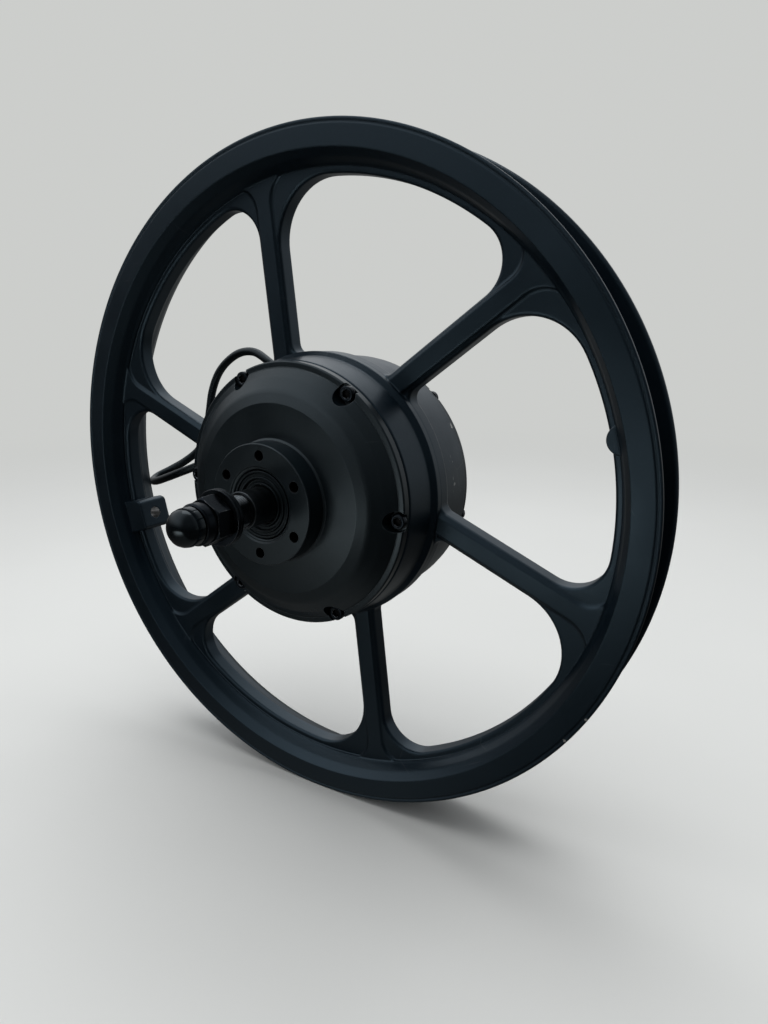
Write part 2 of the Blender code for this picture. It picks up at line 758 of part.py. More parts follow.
def bearing(prefix, bore_r, outer_r, y0, y1):
    """Inner ring, outer ring, and the balls with their cage."""
    middle = (y0 + y1) / 2
    half = (y1 - y0) / 2
    track_r = (bore_r + outer_r) / 2
    ball_r = 0.23 * (outer_r - bore_r)
    inner = lathe(f"{prefix}_bearing_inner", [
        (bore_r, middle - half), (track_r - 1.1, middle - half),
        (track_r - 1.1, middle - 1.7), (track_r - ball_r - 0.5, middle),
        (track_r - 1.1, middle + 1.7), (track_r - 1.1, middle + half),
        (bore_r, middle + half),
    ], 20, "bearing_steel")
    outer = lathe(f"{prefix}_bearing_outer", [
        (track_r + 1.1, middle - half), (outer_r, middle - half), (outer_r, middle + half),
        (track_r + 1.1, middle + half), (track_r + 1.1, middle + 1.7),
        (track_r + ball_r + 0.5, middle), (track_r + 1.1, middle - 1.7),
    ], 20, "bearing_steel")
    cage = ring(f"{prefix}_bearing_balls", track_r - 0.5, track_r + 0.5,
                middle - 1.2, middle + 1.2, 8, "bearing_steel")
    balls = []
    for k in range(8):
        ball = lathe_data([(0, -ball_r), (ball_r * 0.87, -ball_r * 0.5),
                           (ball_r * 0.87, ball_r * 0.5), (0, ball_r)], 4)
        balls.append(moved(ball, at(track_r, 45.0 * k, middle)))
    join(cage, combined(f"{prefix}_balls", balls, "bearing_steel"))
    return inner, outer, cage


# ---------------------------------------------------------------- axle and its hardware


def axle():
    """Stepped shaft with flats at both ends and a cable channel on the cable side."""
    shaft = lathe("axle", [
        (0.0, -AXLE_END_Y), (THREAD_R, -AXLE_END_Y), (THREAD_R, -WASHER_Y),
        (AXLE_R, -WASHER_Y), (AXLE_R, 8.9), (AXLE_REAR_R, 8.9), (AXLE_REAR_R, SHOULDER_Y),
        (AXLE_R, SHOULDER_Y), (AXLE_R, WASHER_Y), (THREAD_R, WASHER_Y),
        (THREAD_R, AXLE_END_Y), (0.0, AXLE_END_Y),
    ], 24, "blackened_steel")
    blocks = []
    for sign in (-1.0, 1.0):
        for side in (-1.0, 1.0):
            near, out = sorted((side * FLAT_HALF, side * 12.0))
            low, high = sorted((sign * (SHOULDER_Y + 0.3), sign * 110.0))
            outline = [(near, -12.0), (out, -12.0), (out, 12.0), (near, 12.0)]
            blocks.append(plate_data(outline, [], low, high))
    cut(shaft, combined("axle_flats", blocks))
    cut(shaft, rod("cable_channel", 3.1, 30.0, 58.5, 12, "blackened_steel"))
    cut(shaft, rod("cable_outlet", 3.0, 0.0, 12.0, 12, "blackened_steel",
                   facing(CABLE_EXIT_DEG, CABLE_EXIT_Y)))
    cut(shaft, rod("lead_outlet", 2.9, 0.0, 12.0, 12, "blackened_steel", facing(270.0, 33.0)))
    return shaft


def axle_hardware(prefix, sign):
    """Two washers, the nut with its collar, and the end cap, from the dropout outwards."""
    pieces = []
    for name, y in (("inner_washer", WASHER_Y + 0.2), ("outer_washer", WASHER_Y + 1.9)):
        low, high = sorted((sign * y, sign * (y + 1.5)))
        pieces.append(ring(f"{prefix}_{name}", 6.5, 12.0, low, high, 20, "blackened_steel"))
    nut = [
        (6.5, NUT_Y + 0.2), (9.0, NUT_Y + 0.2), (9.0, NUT_COLLAR_Y), (8.4, NUT_COLLAR_Y + 0.3),
        (8.7, NUT_COLLAR_Y + 1.2), (8.7, CAP_Y - 1.6), (8.1, CAP_Y - 0.5), (6.5, CAP_Y - 0.5),
    ]
    pieces.append(lathe(f"{prefix}_axle_nut", [(r, sign * y) for r, y in nut], 12,
                        "blackened_steel", flats={1, 2}))
    cap = [
        (0.0, CAP_TIP_Y), (3.6, CAP_TIP_Y - 0.8), (6.2, CAP_TIP_Y - 2.6),
        (7.9, CAP_TIP_Y - 6.0), (7.9, CAP_Y),
        (6.4, CAP_Y), (6.4, CAP_TIP_Y - 4.4), (0.0, CAP_TIP_Y - 4.4),
    ]
    pieces.append(lathe(f"{prefix}_end_cap", [(r, sign * y) for r, y in cap], 16,
                        "black_moulding"))
    return pieces


# ---------------------------------------------------------------- cable


def smooth_route(points, steps):
    """Points along a curve that passes through every given point."""
    route = []
    ends = [points[0] * 2 - points[1]] + points + [points[-1] * 2 - points[-2]]
    for i in range(1, len(ends) - 2):
        p0, p1, p2, p3 = ends[i - 1:i + 3]
        for k in range(steps):
            t = k / steps
            route.append(0.5 * (2 * p1 + (p2 - p0) * t + (2 * p0 - 5 * p1 + 4 * p2 - p3) * t * t
                                + (3 * p1 - p0 - 3 * p2 + p3) * t**3))
    route.append(points[-1])
    return route


def cable_points():
    out = Vector(polar(1.0, CABLE_EXIT_DEG, 0.0))
    start = [out * 5.0, out * 14.0]
    for point in start:
        point.y = CABLE_EXIT_Y
    return smooth_route(start + [Vector(p) for p in CABLE_ROUTE], 2)


def motor_cable(points):
    curve = bpy.data.curves.new("motor_cable", "CURVE")
    curve.dimensions = "3D"
    curve.bevel_depth = CABLE_R * MM
    curve.bevel_resolution = 2
    curve.use_fill_caps = True
    spline = curve.splines.new("POLY")
    spline.points.add(len(points) - 1)
    for slot, point in zip(spline.points, points):
        slot.co = (*(point * MM), 1.0)
    cable = bpy.data.objects.new("motor_cable", curve)
    bpy.context.scene.collection.objects.link(cable)
    curve.materials.append(own_material("motor_cable", "black_rubber"))
    return cable


def cable_plug(points):
    """The round multi-pin plug, moulded round the cable's end."""
    end = points[-1]
    out = (points[-1] - points[-2]).normalized()
    turn = Vector((0.0, 1.0, 0.0)).rotation_difference(out).to_matrix().to_4x4()
    place = Matrix.Translation(end) @ turn
    return lathe("cable_plug", [
        (2.8, -6.0), (3.4, -6.0), (4.4, 4.0), (6.2, 6.0), (6.5, 7.0), (6.5, 20.0),
        (5.6, 20.6), (5.6, PLUG_LENGTH - 6.0), (4.7, PLUG_LENGTH - 6.0),
        (4.7, 14.0), (0.0, 14.0), (0.0, 0.5), (2.8, 0.5),
    ], 14, "black_moulding", place)


def strain_relief():
    return lathe("cable_strain_relief", [
        (2.9, 9.0), (4.4, 9.0), (4.4, 12.0), (3.5, 13.2), (4.0, 16.0), (3.3, 20.0),
        (3.2, 28.0), (2.9, 28.0),
    ], 12, "black_rubber", facing(CABLE_EXIT_DEG, CABLE_EXIT_Y))


# ---------------------------------------------------------------- assembly


def build():
    clear_scene()

    # Fixed pieces: what the vehicle's dropouts hold
    axle()
    lathe("disc_side_sleeve", [(7.3, -SHOULDER_Y), (AXLE_REAR_R, -SHOULDER_Y),
                               (AXLE_REAR_R, -46.8), (7.3, -46.8)], 24, "blackened_steel")
    axle_hardware("disc_side", -1.0)
    axle_hardware("cable_side", 1.0)
    strain_relief()
    route = cable_points()
    motor_cable(route)
    cable_plug(route)
    ring("stator_hub", 8.6, 20.3, 9.6, 21.6, 24, "cast_aluminium")
    stator_core()
    stator_windings()
    hall_board()
    ring("clutch_inner_race", 7.3, 10.4, -36.0, -26.8, 20, "bearing_steel")
    rollers = [(r * math.cos(math.radians(22.5 * k)), r * math.sin(math.radians(22.5 * k)))
               for k, r in enumerate([13.9, 12.6] * 8)]
    plate("clutch_rollers", rollers, [circle(10.7, 16)], -35.0, -27.6, "bearing_steel")
    ring("clutch_circlip", 7.2, 9.2, -38.3, -36.8, 16, "blackened_steel")
    planet_carrier()
    for index, degrees in enumerate(PLANET_DEGS):
        rod(f"planet_pin_{index + 1}", 4.0, -31.4, -10.9, 20, "bearing_steel",
            at(PLANET_CENTRE_R, degrees))

    disc_inner, disc_outer, disc_balls = bearing("disc_side", 7.3, 14.0, -46.4, -39.5)
    cable_inner, cable_outer, cable_balls = bearing("cable_side", 8.6, 15.0, 38.8, 45.6)
    rotor_inner, rotor_outer, rotor_balls = bearing("rotor", 7.3, 14.0, -6.8, 7.2)

    # The turning wheel
    screws = []
    for k in range(COVER_SCREW_COUNT):
        turn = COVER_SCREW_STEP_DEG * k
        screws.append(cover_screw(f"disc_cover_screw_{k + 1}", DISC_SCREW_DEG + turn,
                                  -1.0, 28.8, 31.6))
        screws.append(cover_screw(f"cable_cover_screw_{k + 1}", CABLE_SCREW_DEG + turn,
                                  1.0, 29.7, 32.5))
    disc_seal = lathe("disc_side_oil_seal", [
        (8.7, -50.2), (11.6, -50.2), (12.0, -51.0), (15.2, -51.0), (15.2, -46.9),
        (9.4, -46.9),
    ], 20, "black_rubber")
    cable_seal = lathe("cable_side_oil_seal", [
        (9.4, 46.0), (15.0, 46.0), (15.0, 49.8), (12.0, 49.8), (11.6, 49.0), (8.7, 49.0),
    ], 20, "black_rubber")
    wheel_axis = body_axis("wheel_axis")
    hang(wheel_axis, [
        wheel_casting(), disc_side_cover(), cable_side_cover(), ring_gear(), disc_outer,
        cable_outer, disc_seal, cable_seal, *screws,
    ])

    # The rotor, inside
    rotor_axis = body_axis("rotor_axis")
    hang(rotor_axis, [
        rotor_bell(), ring("magnet_ring", 46.4, 49.2, -1.0, 23.0, 32, "magnet_nickel"),
        sun_gear(), rotor_outer,
    ])
    for index, degrees in enumerate(PLANET_DEGS):
        planet_axis = body_axis(f"planet_axis_{index + 1}",
                                polar(PLANET_CENTRE_R, degrees, 0.0))
        hang(planet_axis, [planet_gear(index)])
    hang(body_axis("disc_side_balls_axis"), [disc_balls])
    hang(body_axis("cable_side_balls_axis"), [cable_balls])
    hang(body_axis("rotor_balls_axis"), [rotor_balls])


build()
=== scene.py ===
"""The looks of the hub motor wheel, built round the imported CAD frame."""

import json
from math import atan2, copysign, cos, pi, radians, sin, sqrt, tan

import bmesh
import bpy
from mathutils import Matrix, Vector
from mathutils.geometry import tessellate_polygon


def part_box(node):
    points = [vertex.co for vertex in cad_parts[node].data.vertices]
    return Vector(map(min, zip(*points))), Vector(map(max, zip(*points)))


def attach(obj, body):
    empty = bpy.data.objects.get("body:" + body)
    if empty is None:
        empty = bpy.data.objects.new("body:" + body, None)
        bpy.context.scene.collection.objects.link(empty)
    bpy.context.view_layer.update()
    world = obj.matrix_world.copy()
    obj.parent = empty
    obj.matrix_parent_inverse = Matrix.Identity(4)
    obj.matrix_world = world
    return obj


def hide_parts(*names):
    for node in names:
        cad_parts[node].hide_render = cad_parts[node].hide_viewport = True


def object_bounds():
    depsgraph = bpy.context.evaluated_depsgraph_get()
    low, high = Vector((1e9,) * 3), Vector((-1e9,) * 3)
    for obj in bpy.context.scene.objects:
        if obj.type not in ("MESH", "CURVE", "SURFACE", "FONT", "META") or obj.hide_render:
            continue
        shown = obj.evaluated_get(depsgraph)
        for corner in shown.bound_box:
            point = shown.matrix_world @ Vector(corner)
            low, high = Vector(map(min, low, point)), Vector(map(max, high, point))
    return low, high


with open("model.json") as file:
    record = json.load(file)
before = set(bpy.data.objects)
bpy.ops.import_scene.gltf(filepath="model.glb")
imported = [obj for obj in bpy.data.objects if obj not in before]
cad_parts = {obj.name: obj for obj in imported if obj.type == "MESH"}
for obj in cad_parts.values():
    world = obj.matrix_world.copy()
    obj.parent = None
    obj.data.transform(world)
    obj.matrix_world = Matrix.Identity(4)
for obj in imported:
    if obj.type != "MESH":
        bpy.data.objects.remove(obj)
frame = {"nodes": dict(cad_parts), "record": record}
CAD_LOW, CAD_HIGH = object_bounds()
MM = 0.001

# Casting, in millimetres, as the CAD wheel_casting has it
SPOKE_COUNT = 6
SPOKE_STEP_DEG = 360.0 / SPOKE_COUNT
SPOKE_FIRST_DEG = 36.2
SPOKE_OFFSET = 16.0
SPOKE_WIDTH = 12.2
WEB_FRONT_Y = -4.9
WEB_REAR_Y = 3.9
WEB_ROUND = 1.6
WEB_OUTER_R = 145.0
WEB_INNER_R = 59.0
RIB_FRONT_Y = -6.1
RIB_REAR_Y = 5.1
RIB_FACE_WIDTH = 7.4
RIB_FOOT_WIDTH = 11.2
RIB_FOOT_DEPTH = 0.4
RIB_ROUND = 1.1
RIB_FOOT_ROUND = 0.5
RIB_START_R = 60.0
RIB_END_R = 145.3
RIB_FLARE_R = 13.0
RIB_FLARE_DEG = 72.0
RIB_FLARE_STEPS = 10
CREST_R = 141.1
ROOT_R = 64.6
FILLET_AHEAD = 16.5
FILLET_BEHIND = 27.0
FILLET_ROOT = 5.0
BARREL_R = 144.2
VALVE_DEG = 193.8
VALVE_HOLE_R = 3.3
VALVE_PAD_TOP_R = 131.7
VALVE_PAD_HALF = 9.0
VALVE_PAD_HALF_LENGTH = 9.5
BOSS_DEG = 13.5
BOSS_R = 6.25
BOSS_CENTRE_R = 146.2

# Covers and their screws, in millimetres
COVER_SCREW_COUNT = 6
COVER_SCREW_STEP_DEG = 360.0 / COVER_SCREW_COUNT
COVER_SCREW_CIRCLE_R = 58.1
DISC_SCREW_DEG = 55.9
CABLE_SCREW_DEG = 46.0
SCREW_HOLE_R = 2.1
SCREW_SEAT_R = 4.7
SCREW_SHANK_R = 1.8
SCREW_END_Y = 17.4
SCREW_HEAD_R = 3.5
SCREW_HEAD_HEIGHT = 2.8
SCREW_SOCKET_R = 1.7
DISC_SEAT_Y = 28.5
CABLE_SEAT_Y = 29.4
SEAT_GAP = 0.3
DISC_PATTERN_COUNT = 6
DISC_PATTERN_R = 22.0
DISC_PATTERN_DEG = 27.8
BOLT_MOUTH_R = 2.5
BOLT_HOLE_R = 2.2

# Axle and its hardware, in millimetres
AXLE_R = 8.3
AXLE_STEP_R = 7.0
AXLE_END_R = 6.0
AXLE_END_Y = 96.4
FLAT_HALF = 5.0
THREAD_PITCH = 1.25
THREAD_DEPTH = 0.55
SHOULDER_Y = 63.5
WASHER_Y = 74.5
NUT_Y = 78.2
COLLAR_Y = 86.0
CAP_Y = 91.4
CAP_TIP_Y = 101.5
WASHER_R = 12.0
WASHER_THICKNESS = 1.5
HARDWARE_BORE_R = 6.5
NUT_HALF = 9.0
CAP_R = 7.9
CAP_BORE_R = 6.4

# Bearings, in millimetres
BALL_COUNT = 8
BALL_SHARE = 0.23
CAGE_HALF_WIDTH = 0.5
CAGE_HALF_HEIGHT = 1.2

# Cable, in millimetres
CABLE_R = 2.5
CABLE_EXIT_Y = 57.0
CABLE_EXIT_DEG = 146.2
CABLE_ROUTE = (
    (-26.0, 57.0, 17.4),
    (-46.0, 57.2, 30.5),
    (-66.0, 57.6, 43.8),
    (-84.4, 58.5, 54.8),
    (-98.0, 61.0, 60.6),
    (-111.0, 62.4, 60.2),
    (-122.5, 62.8, 54.8),
    (-130.8, 62.0, 46.5),
    (-135.6, 60.5, 35.0),
    (-137.6, 59.0, 22.0),
    (-140.4, 58.0, 8.7),
    (-147.0, 57.0, -3.0),
    (-158.2, 55.0, -11.6),
    (-169.0, 51.0, -18.0),
    (-174.6, 44.5, -22.0),
    (-171.0, 37.0, -23.4),
    (-160.0, 30.6, -21.4),
    (-144.3, 26.4, -16.4),
    (-128.5, 26.0, -10.6),
    (-115.5, 31.0, -5.6),
    (-103.0, 40.5, -3.6),
    (-88.0, 51.0, -6.0),
    (-71.0, 59.5, -12.0),
    (-53.0, 64.5, -20.5),
    (-34.0, 66.0, -29.5),
    (-15.0, 65.5, -37.0),
)


def new_object(name, data):
    made = bpy.data.objects.new(name, data)
    bpy.context.scene.collection.objects.link(made)
    return made


# ---- camera

CAMERA_AT = Vector((0.2068, -0.2848, 0.0754))
CAMERA_RIGHT = Vector((0.8526, 0.5225, 0.0))
CAMERA_BACK = Vector((0.5063, -0.8261, 0.2477))
CAMERA_LENS = 25.37
CAMERA_SENSOR = 36.0
CAMERA_CLIP_START = 0.01


def camera():
    """The camera stands in front, to the right and slightly above the axle."""
    data = bpy.data.cameras.new("camera")
    data.lens = CAMERA_LENS
    data.sensor_width = CAMERA_SENSOR
    data.clip_start = CAMERA_CLIP_START
    right = CAMERA_RIGHT.normalized()
    back = CAMERA_BACK.normalized()
    up = back.cross(right)
    made = new_object("camera", data)
    made.matrix_world = Matrix.Translation(CAMERA_AT) @ Matrix((right, up, back)).transposed().to_4x4()
    bpy.context.scene.camera = made


camera()

# ---- material graphs


def new_material(name):
    material = bpy.data.materials.new(name)
    material.use_nodes = True
    return material, material.node_tree, material.node_tree.nodes["Principled BSDF"]


def add(tree, kind, inputs=None, **settings):
    """A shader node, its settings given by name and its inputs as values or as sockets to link."""
    made = tree.nodes.new("ShaderNode" + kind)
    for key, value in settings.items():
        setattr(made, key, value)
    for key, value in (inputs or {}).items():
        if isinstance(value, bpy.types.NodeSocket):
            tree.links.new(value, made.inputs[key])
        else:
            made.inputs[key].default_value = value
    return made


def coordinates(tree, stretch=(1.0, 1.0, 1.0)):
    """Object coordinates in metres, stretched along the axes."""
    place = add(tree, "TexCoord").outputs["Object"]
    return add(tree, "Mapping", {"Vector": place, "Scale": stretch}).outputs["Vector"]


def noise_value(tree, place, scale, detail=3.0, rough=0.55):
    return add(tree, "TexNoise", {
        "Vector": place, "Scale": scale, "Detail": detail, "Roughness": rough,
    }).outputs["Fac"]


def remap(tree, value, low, high, to_low, to_high):
    return add(tree, "MapRange", {
        "Value": value, "From Min": low, "From Max": high, "To Min": to_low, "To Max": to_high,
    }, interpolation_type="SMOOTHSTEP").outputs["Result"]


def maths(tree, operation, first, second=0.0):
    return add(tree, "Math", {0: first, 1: second}, operation=operation).outputs[0]


def blend(tree, factor, first, second):
    """Colour mixing: first where factor is 0, second where it is 1."""
    made = add(tree, "Mix", {0: factor}, data_type="RGBA")
    for index, colour in ((6, first), (7, second)):
        if isinstance(colour, bpy.types.NodeSocket):
            tree.links.new(colour, made.inputs[index])
        else:
            made.inputs[index].default_value = (*colour, 1.0)
    return made.outputs[2]


def bump(tree, height, distance, strength=1.0, normal=None):
    inputs = {"Height": height, "Distance": distance, "Strength": strength}
    if normal is not None:
        inputs["Normal"] = normal
    return add(tree, "Bump", inputs).outputs["Normal"]


def distance_to(tree, place, point):
    """Distance in metres from a point given in millimetres."""
    there = tuple(c * MM for c in point)
    return add(tree, "VectorMath", {0: place, 1: there}, operation="DISTANCE").outputs["Value"]


def spots(tree, place, centres, wobble):
    """1 inside ragged spots given as (centre, radius) in millimetres, 0 elsewhere."""
    total = None
    for centre, size in centres:
        radius = size * MM
        ragged = maths(tree, "MULTIPLY", maths(tree, "SUBTRACT", wobble, 0.5), radius * RAGGEDNESS)
        away = maths(tree, "ADD", distance_to(tree, place, centre), ragged)
        inside = maths(tree, "LESS_THAN", away, radius)
        total = inside if total is None else maths(tree, "MAXIMUM", total, inside)
    return total


def rubbed(tree, place, area):
    """Short pale streaks inside a soft round area given as (centre, radius) in millimetres."""
    centre, radius = area
    away = distance_to(tree, place, centre)
    inside = remap(tree, away, 0.55 * radius * MM, radius * MM, 1.0, 0.0)
    along = add(tree, "Mapping", {
        "Vector": place, "Rotation": (0.5, 0.0, 0.0), "Scale": (1.0, 1.0, 0.28),
    }).outputs["Vector"]
    streaks = remap(tree, noise_value(tree, along, 520.0, 3.0, 0.6), 0.665, 0.70, 0.0, 0.8)
    return maths(tree, "MULTIPLY", streaks, inside)


def bevelled_normal(tree, radius):
    return add(tree, "Bevel", {"Radius": radius}, samples=4).outputs["Normal"]


def edges(tree, place, radius):
    """1 along the edges of the shape, patchily, 0 on its open faces: where a painted highlight is
    laid.
    """
    soft = bevelled_normal(tree, radius)
    hard = add(tree, "NewGeometry").outputs["Normal"]
    facing_same = add(tree, "VectorMath", {0: soft, 1: hard}, operation="DOT_PRODUCT").outputs["Value"]
    patchy = remap(tree, noise_value(tree, place, 260.0, 3.0), 0.34, 0.58, 0.35, 1.0)
    return maths(tree, "MULTIPLY", remap(tree, facing_same, 0.86, 0.985, 1.0, 0.0), patchy)


def radius_of(tree, place):
    """Distance from the wheel's axis."""
    flat = add(tree, "VectorMath", {0: place, 1: (1.0, 0.0, 1.0)}, operation="MULTIPLY")
    return add(tree, "VectorMath", {0: flat.outputs[0]}, operation="LENGTH").outputs["Value"]


def cloudy(tree, cloud, low, high):
    """A colour that drifts between two tones with a noise value."""
    return blend(tree, remap(tree, cloud, 0.3, 0.7, 0.0, 1.0), low, high)


def surface(tree, shader, colour, rough, normal):
    for socket, value in (("Base Color", colour), ("Roughness", rough), ("Normal", normal)):
        tree.links.new(value, shader.inputs[socket])


# ---- finishes

CASTING_SHEEN = (0.56, 0.80, 1.0)
COVER_SHEEN = (0.74, 0.90, 1.0)
PLAIN_SHEEN = (1.0, 1.0, 1.0)
PAINT_SPECULAR = 0.8
PAINT_HIGHLIGHT_EDGE_R = 0.0006
METAL_HIGHLIGHT_EDGE_R = 0.0005
RAGGEDNESS = 2.6
HAIRLINE_COLOUR = (0.10, 0.105, 0.11)
CHIP_COLOUR = (0.42, 0.42, 0.40)
SCUFF_COLOUR = (0.20, 0.21, 0.21)


def paint(low, high, gloss, sheen, edge, rounding, chips=(), scuffed=None):
    """Satin paint on cast metal: orange peel, dull and dusty patches, hairlines, chips, and a painted
    highlight along the edges.
    """
    material, tree, shader = new_material("paint")
    place = coordinates(tree)
    broad = noise_value(tree, place, 17.0, 5.0, 0.62)
    fine = noise_value(tree, place, 620.0, 3.0)
    specks = noise_value(tree, place, 1500.0, 1.0)
    colour = blend(tree, remap(tree, broad, 0.35, 0.7, 0.0, 1.0), low, high)
    dust = remap(tree, specks, 0.68, 0.76, 0.0, 0.5)
    colour = blend(tree, dust, colour, tuple(min(1.0, c * 2.4 + 0.01) for c in high))
    warped = add(tree, "VectorMath", {0: place, 1: (0.31, 0.17, 0.23)}, operation="ADD").outputs[0]
    lines = add(tree, "TexVoronoi", {"Vector": warped, "Scale": 26.0, "Randomness": 1.0},
                feature="DISTANCE_TO_EDGE").outputs["Distance"]
    patch = remap(tree, noise_value(tree, warped, 34.0, 2.0), 0.60, 0.68, 0.0, 1.0)
    hairline = maths(tree, "MULTIPLY", remap(tree, lines, 0.0, 0.006, 1.0, 0.0), patch)
    colour = blend(tree, maths(tree, "MULTIPLY", hairline, 0.35), colour, HAIRLINE_COLOUR)
    rough = remap(tree, broad, 0.3, 0.75, gloss - 0.05, gloss + 0.09)
    rough = maths(tree, "ADD", rough, maths(tree, "MULTIPLY", fine, 0.05))
    if chips:
        chipped = spots(tree, place, chips, noise_value(tree, place, 900.0, 2.0))
        colour = blend(tree, chipped, colour, CHIP_COLOUR)
        rough = maths(tree, "ADD", rough, maths(tree, "MULTIPLY", chipped, 0.2))
    if scuffed:
        marks = rubbed(tree, place, scuffed)
        colour = blend(tree, marks, colour, SCUFF_COLOUR)
        rough = maths(tree, "ADD", rough, maths(tree, "MULTIPLY", marks, 0.15))
    # Painted highlight: the edge colour lightens the paint along its edges.
    colour = blend(tree, edges(tree, place, PAINT_HIGHLIGHT_EDGE_R), colour, edge)
    peel = bump(tree, fine, 0.00005, 0.55, bevelled_normal(tree, rounding))
    surface(tree, shader, colour, rough, bump(tree, broad, 0.0006, 0.22, peel))
    shader.inputs["Specular IOR Level"].default_value = PAINT_SPECULAR
    shader.inputs["Specular Tint"].default_value = (*sheen, 1.0)
    return material


def metal(low, high, gloss, turned_marks=0.0, metallic=1.0, edge=None):
    """Steel or aluminium with cloudy tone and, where it was turned, fine rings."""
    material, tree, shader = new_material("metal")
    place = coordinates(tree)
    cloud = noise_value(tree, place, 90.0, 5.0, 0.6)
    grain = noise_value(tree, place, 1900.0, 2.0)
    colour = cloudy(tree, cloud, low, high)
    rough = remap(tree, cloud, 0.3, 0.72, gloss - 0.06, gloss + 0.1)
    height = maths(tree, "MULTIPLY", grain, 0.4)
    if turned_marks:
        rings = add(tree, "CombineXYZ", {"X": radius_of(tree, place)}).outputs[0]
        rings = noise_value(tree, rings, 5200.0, 2.0, 0.7)
        rough = maths(tree, "ADD", rough, maths(tree, "MULTIPLY", rings, 0.12))
        height = maths(tree, "ADD", height, maths(tree, "MULTIPLY", rings, turned_marks))
    # Pale edges: partly oxide worn off, partly a painted highlight.
    if edge:
        colour = blend(tree, edges(tree, place, METAL_HIGHLIGHT_EDGE_R), colour, edge)
    surface(tree, shader, colour, rough, bump(tree, height, 0.00003, 0.5))
    shader.inputs["Metallic"].default_value = metallic
    return material


def polymer(low, high, gloss, grain_scale, grain_depth, sheen=PLAIN_SHEEN):
    """Rubber or moulded plastic: matt grain, faint cloudiness, a few scuffs."""
    material, tree, shader = new_material("polymer")
    place = coordinates(tree)
    cloud = noise_value(tree, place, 60.0, 4.0, 0.6)
    grain = noise_value(tree, place, grain_scale, 3.0, 0.6)
    scuffs = noise_value(tree, coordinates(tree, (1.0, 5.0, 1.0)), 110.0, 4.0, 0.7)
    scuffs = remap(tree, scuffs, 0.62, 0.74, 0.0, 1.0)
    colour = cloudy(tree, cloud, low, high)
    colour = blend(tree, maths(tree, "MULTIPLY", scuffs, 0.3), colour,
                   tuple(c * 2.0 + 0.006 for c in high))
    rough = remap(tree, cloud, 0.3, 0.7, gloss - 0.04, gloss + 0.07)
    rough = maths(tree, "ADD", rough, maths(tree, "MULTIPLY", scuffs, 0.08))
    surface(tree, shader, colour, rough, bump(tree, grain, grain_depth, 0.6))
    shader.inputs["Specular Tint"].default_value = (*sheen, 1.0)
    return material


def striped(low, high, gloss, scale, depth):
    """Fine parallel lines: stacked sheets of steel, or wire lying side by side."""
    material, tree, shader = new_material("striped")
    lines = add(tree, "TexWave", {
        "Vector": coordinates(tree), "Scale": scale, "Distortion": 1.2,
        "Detail": 2.0, "Detail Scale": 3.0,
    }, bands_direction="Y").outputs["Fac"]
    cloud = noise_value(tree, coordinates(tree), 120.0, 3.0)
    tone = maths(tree, "MULTIPLY", maths(tree, "ADD", lines, cloud), 0.5)
    rough = remap(tree, cloud, 0.3, 0.7, gloss - 0.05, gloss + 0.08)
    surface(tree, shader, blend(tree, tone, low, high), rough, bump(tree, lines, depth, 0.7))
    shader.inputs["Metallic"].default_value = 1.0
    return material


def printed_board():
    """Green solder mask with lighter tracks and tinned pads."""
    material, tree, shader = new_material("printed_board")
    place = coordinates(tree)
    cells = add(tree, "TexVoronoi", {"Vector": place, "Scale": 420.0},
                feature="DISTANCE_TO_EDGE")
    track = remap(tree, cells.outputs["Distance"], 0.03, 0.06, 1.0, 0.0)
    pads = add(tree, "TexVoronoi", {"Vector": place, "Scale": 300.0}).outputs["Distance"]
    pad = remap(tree, pads, 0.12, 0.16, 1.0, 0.0)
    colour = blend(tree, track, (0.010, 0.10, 0.035), (0.02, 0.19, 0.065))
    colour = blend(tree, pad, colour, (0.55, 0.55, 0.52))
    rough = remap(tree, pad, 0.0, 1.0, 0.28, 0.4)
    surface(tree, shader, colour, rough, bump(tree, track, 0.00004, 0.6))
    return material


def polar(r, degrees, y=0.0):
    a = radians(degrees)
    return Vector((r * cos(a), y, r * sin(a)))


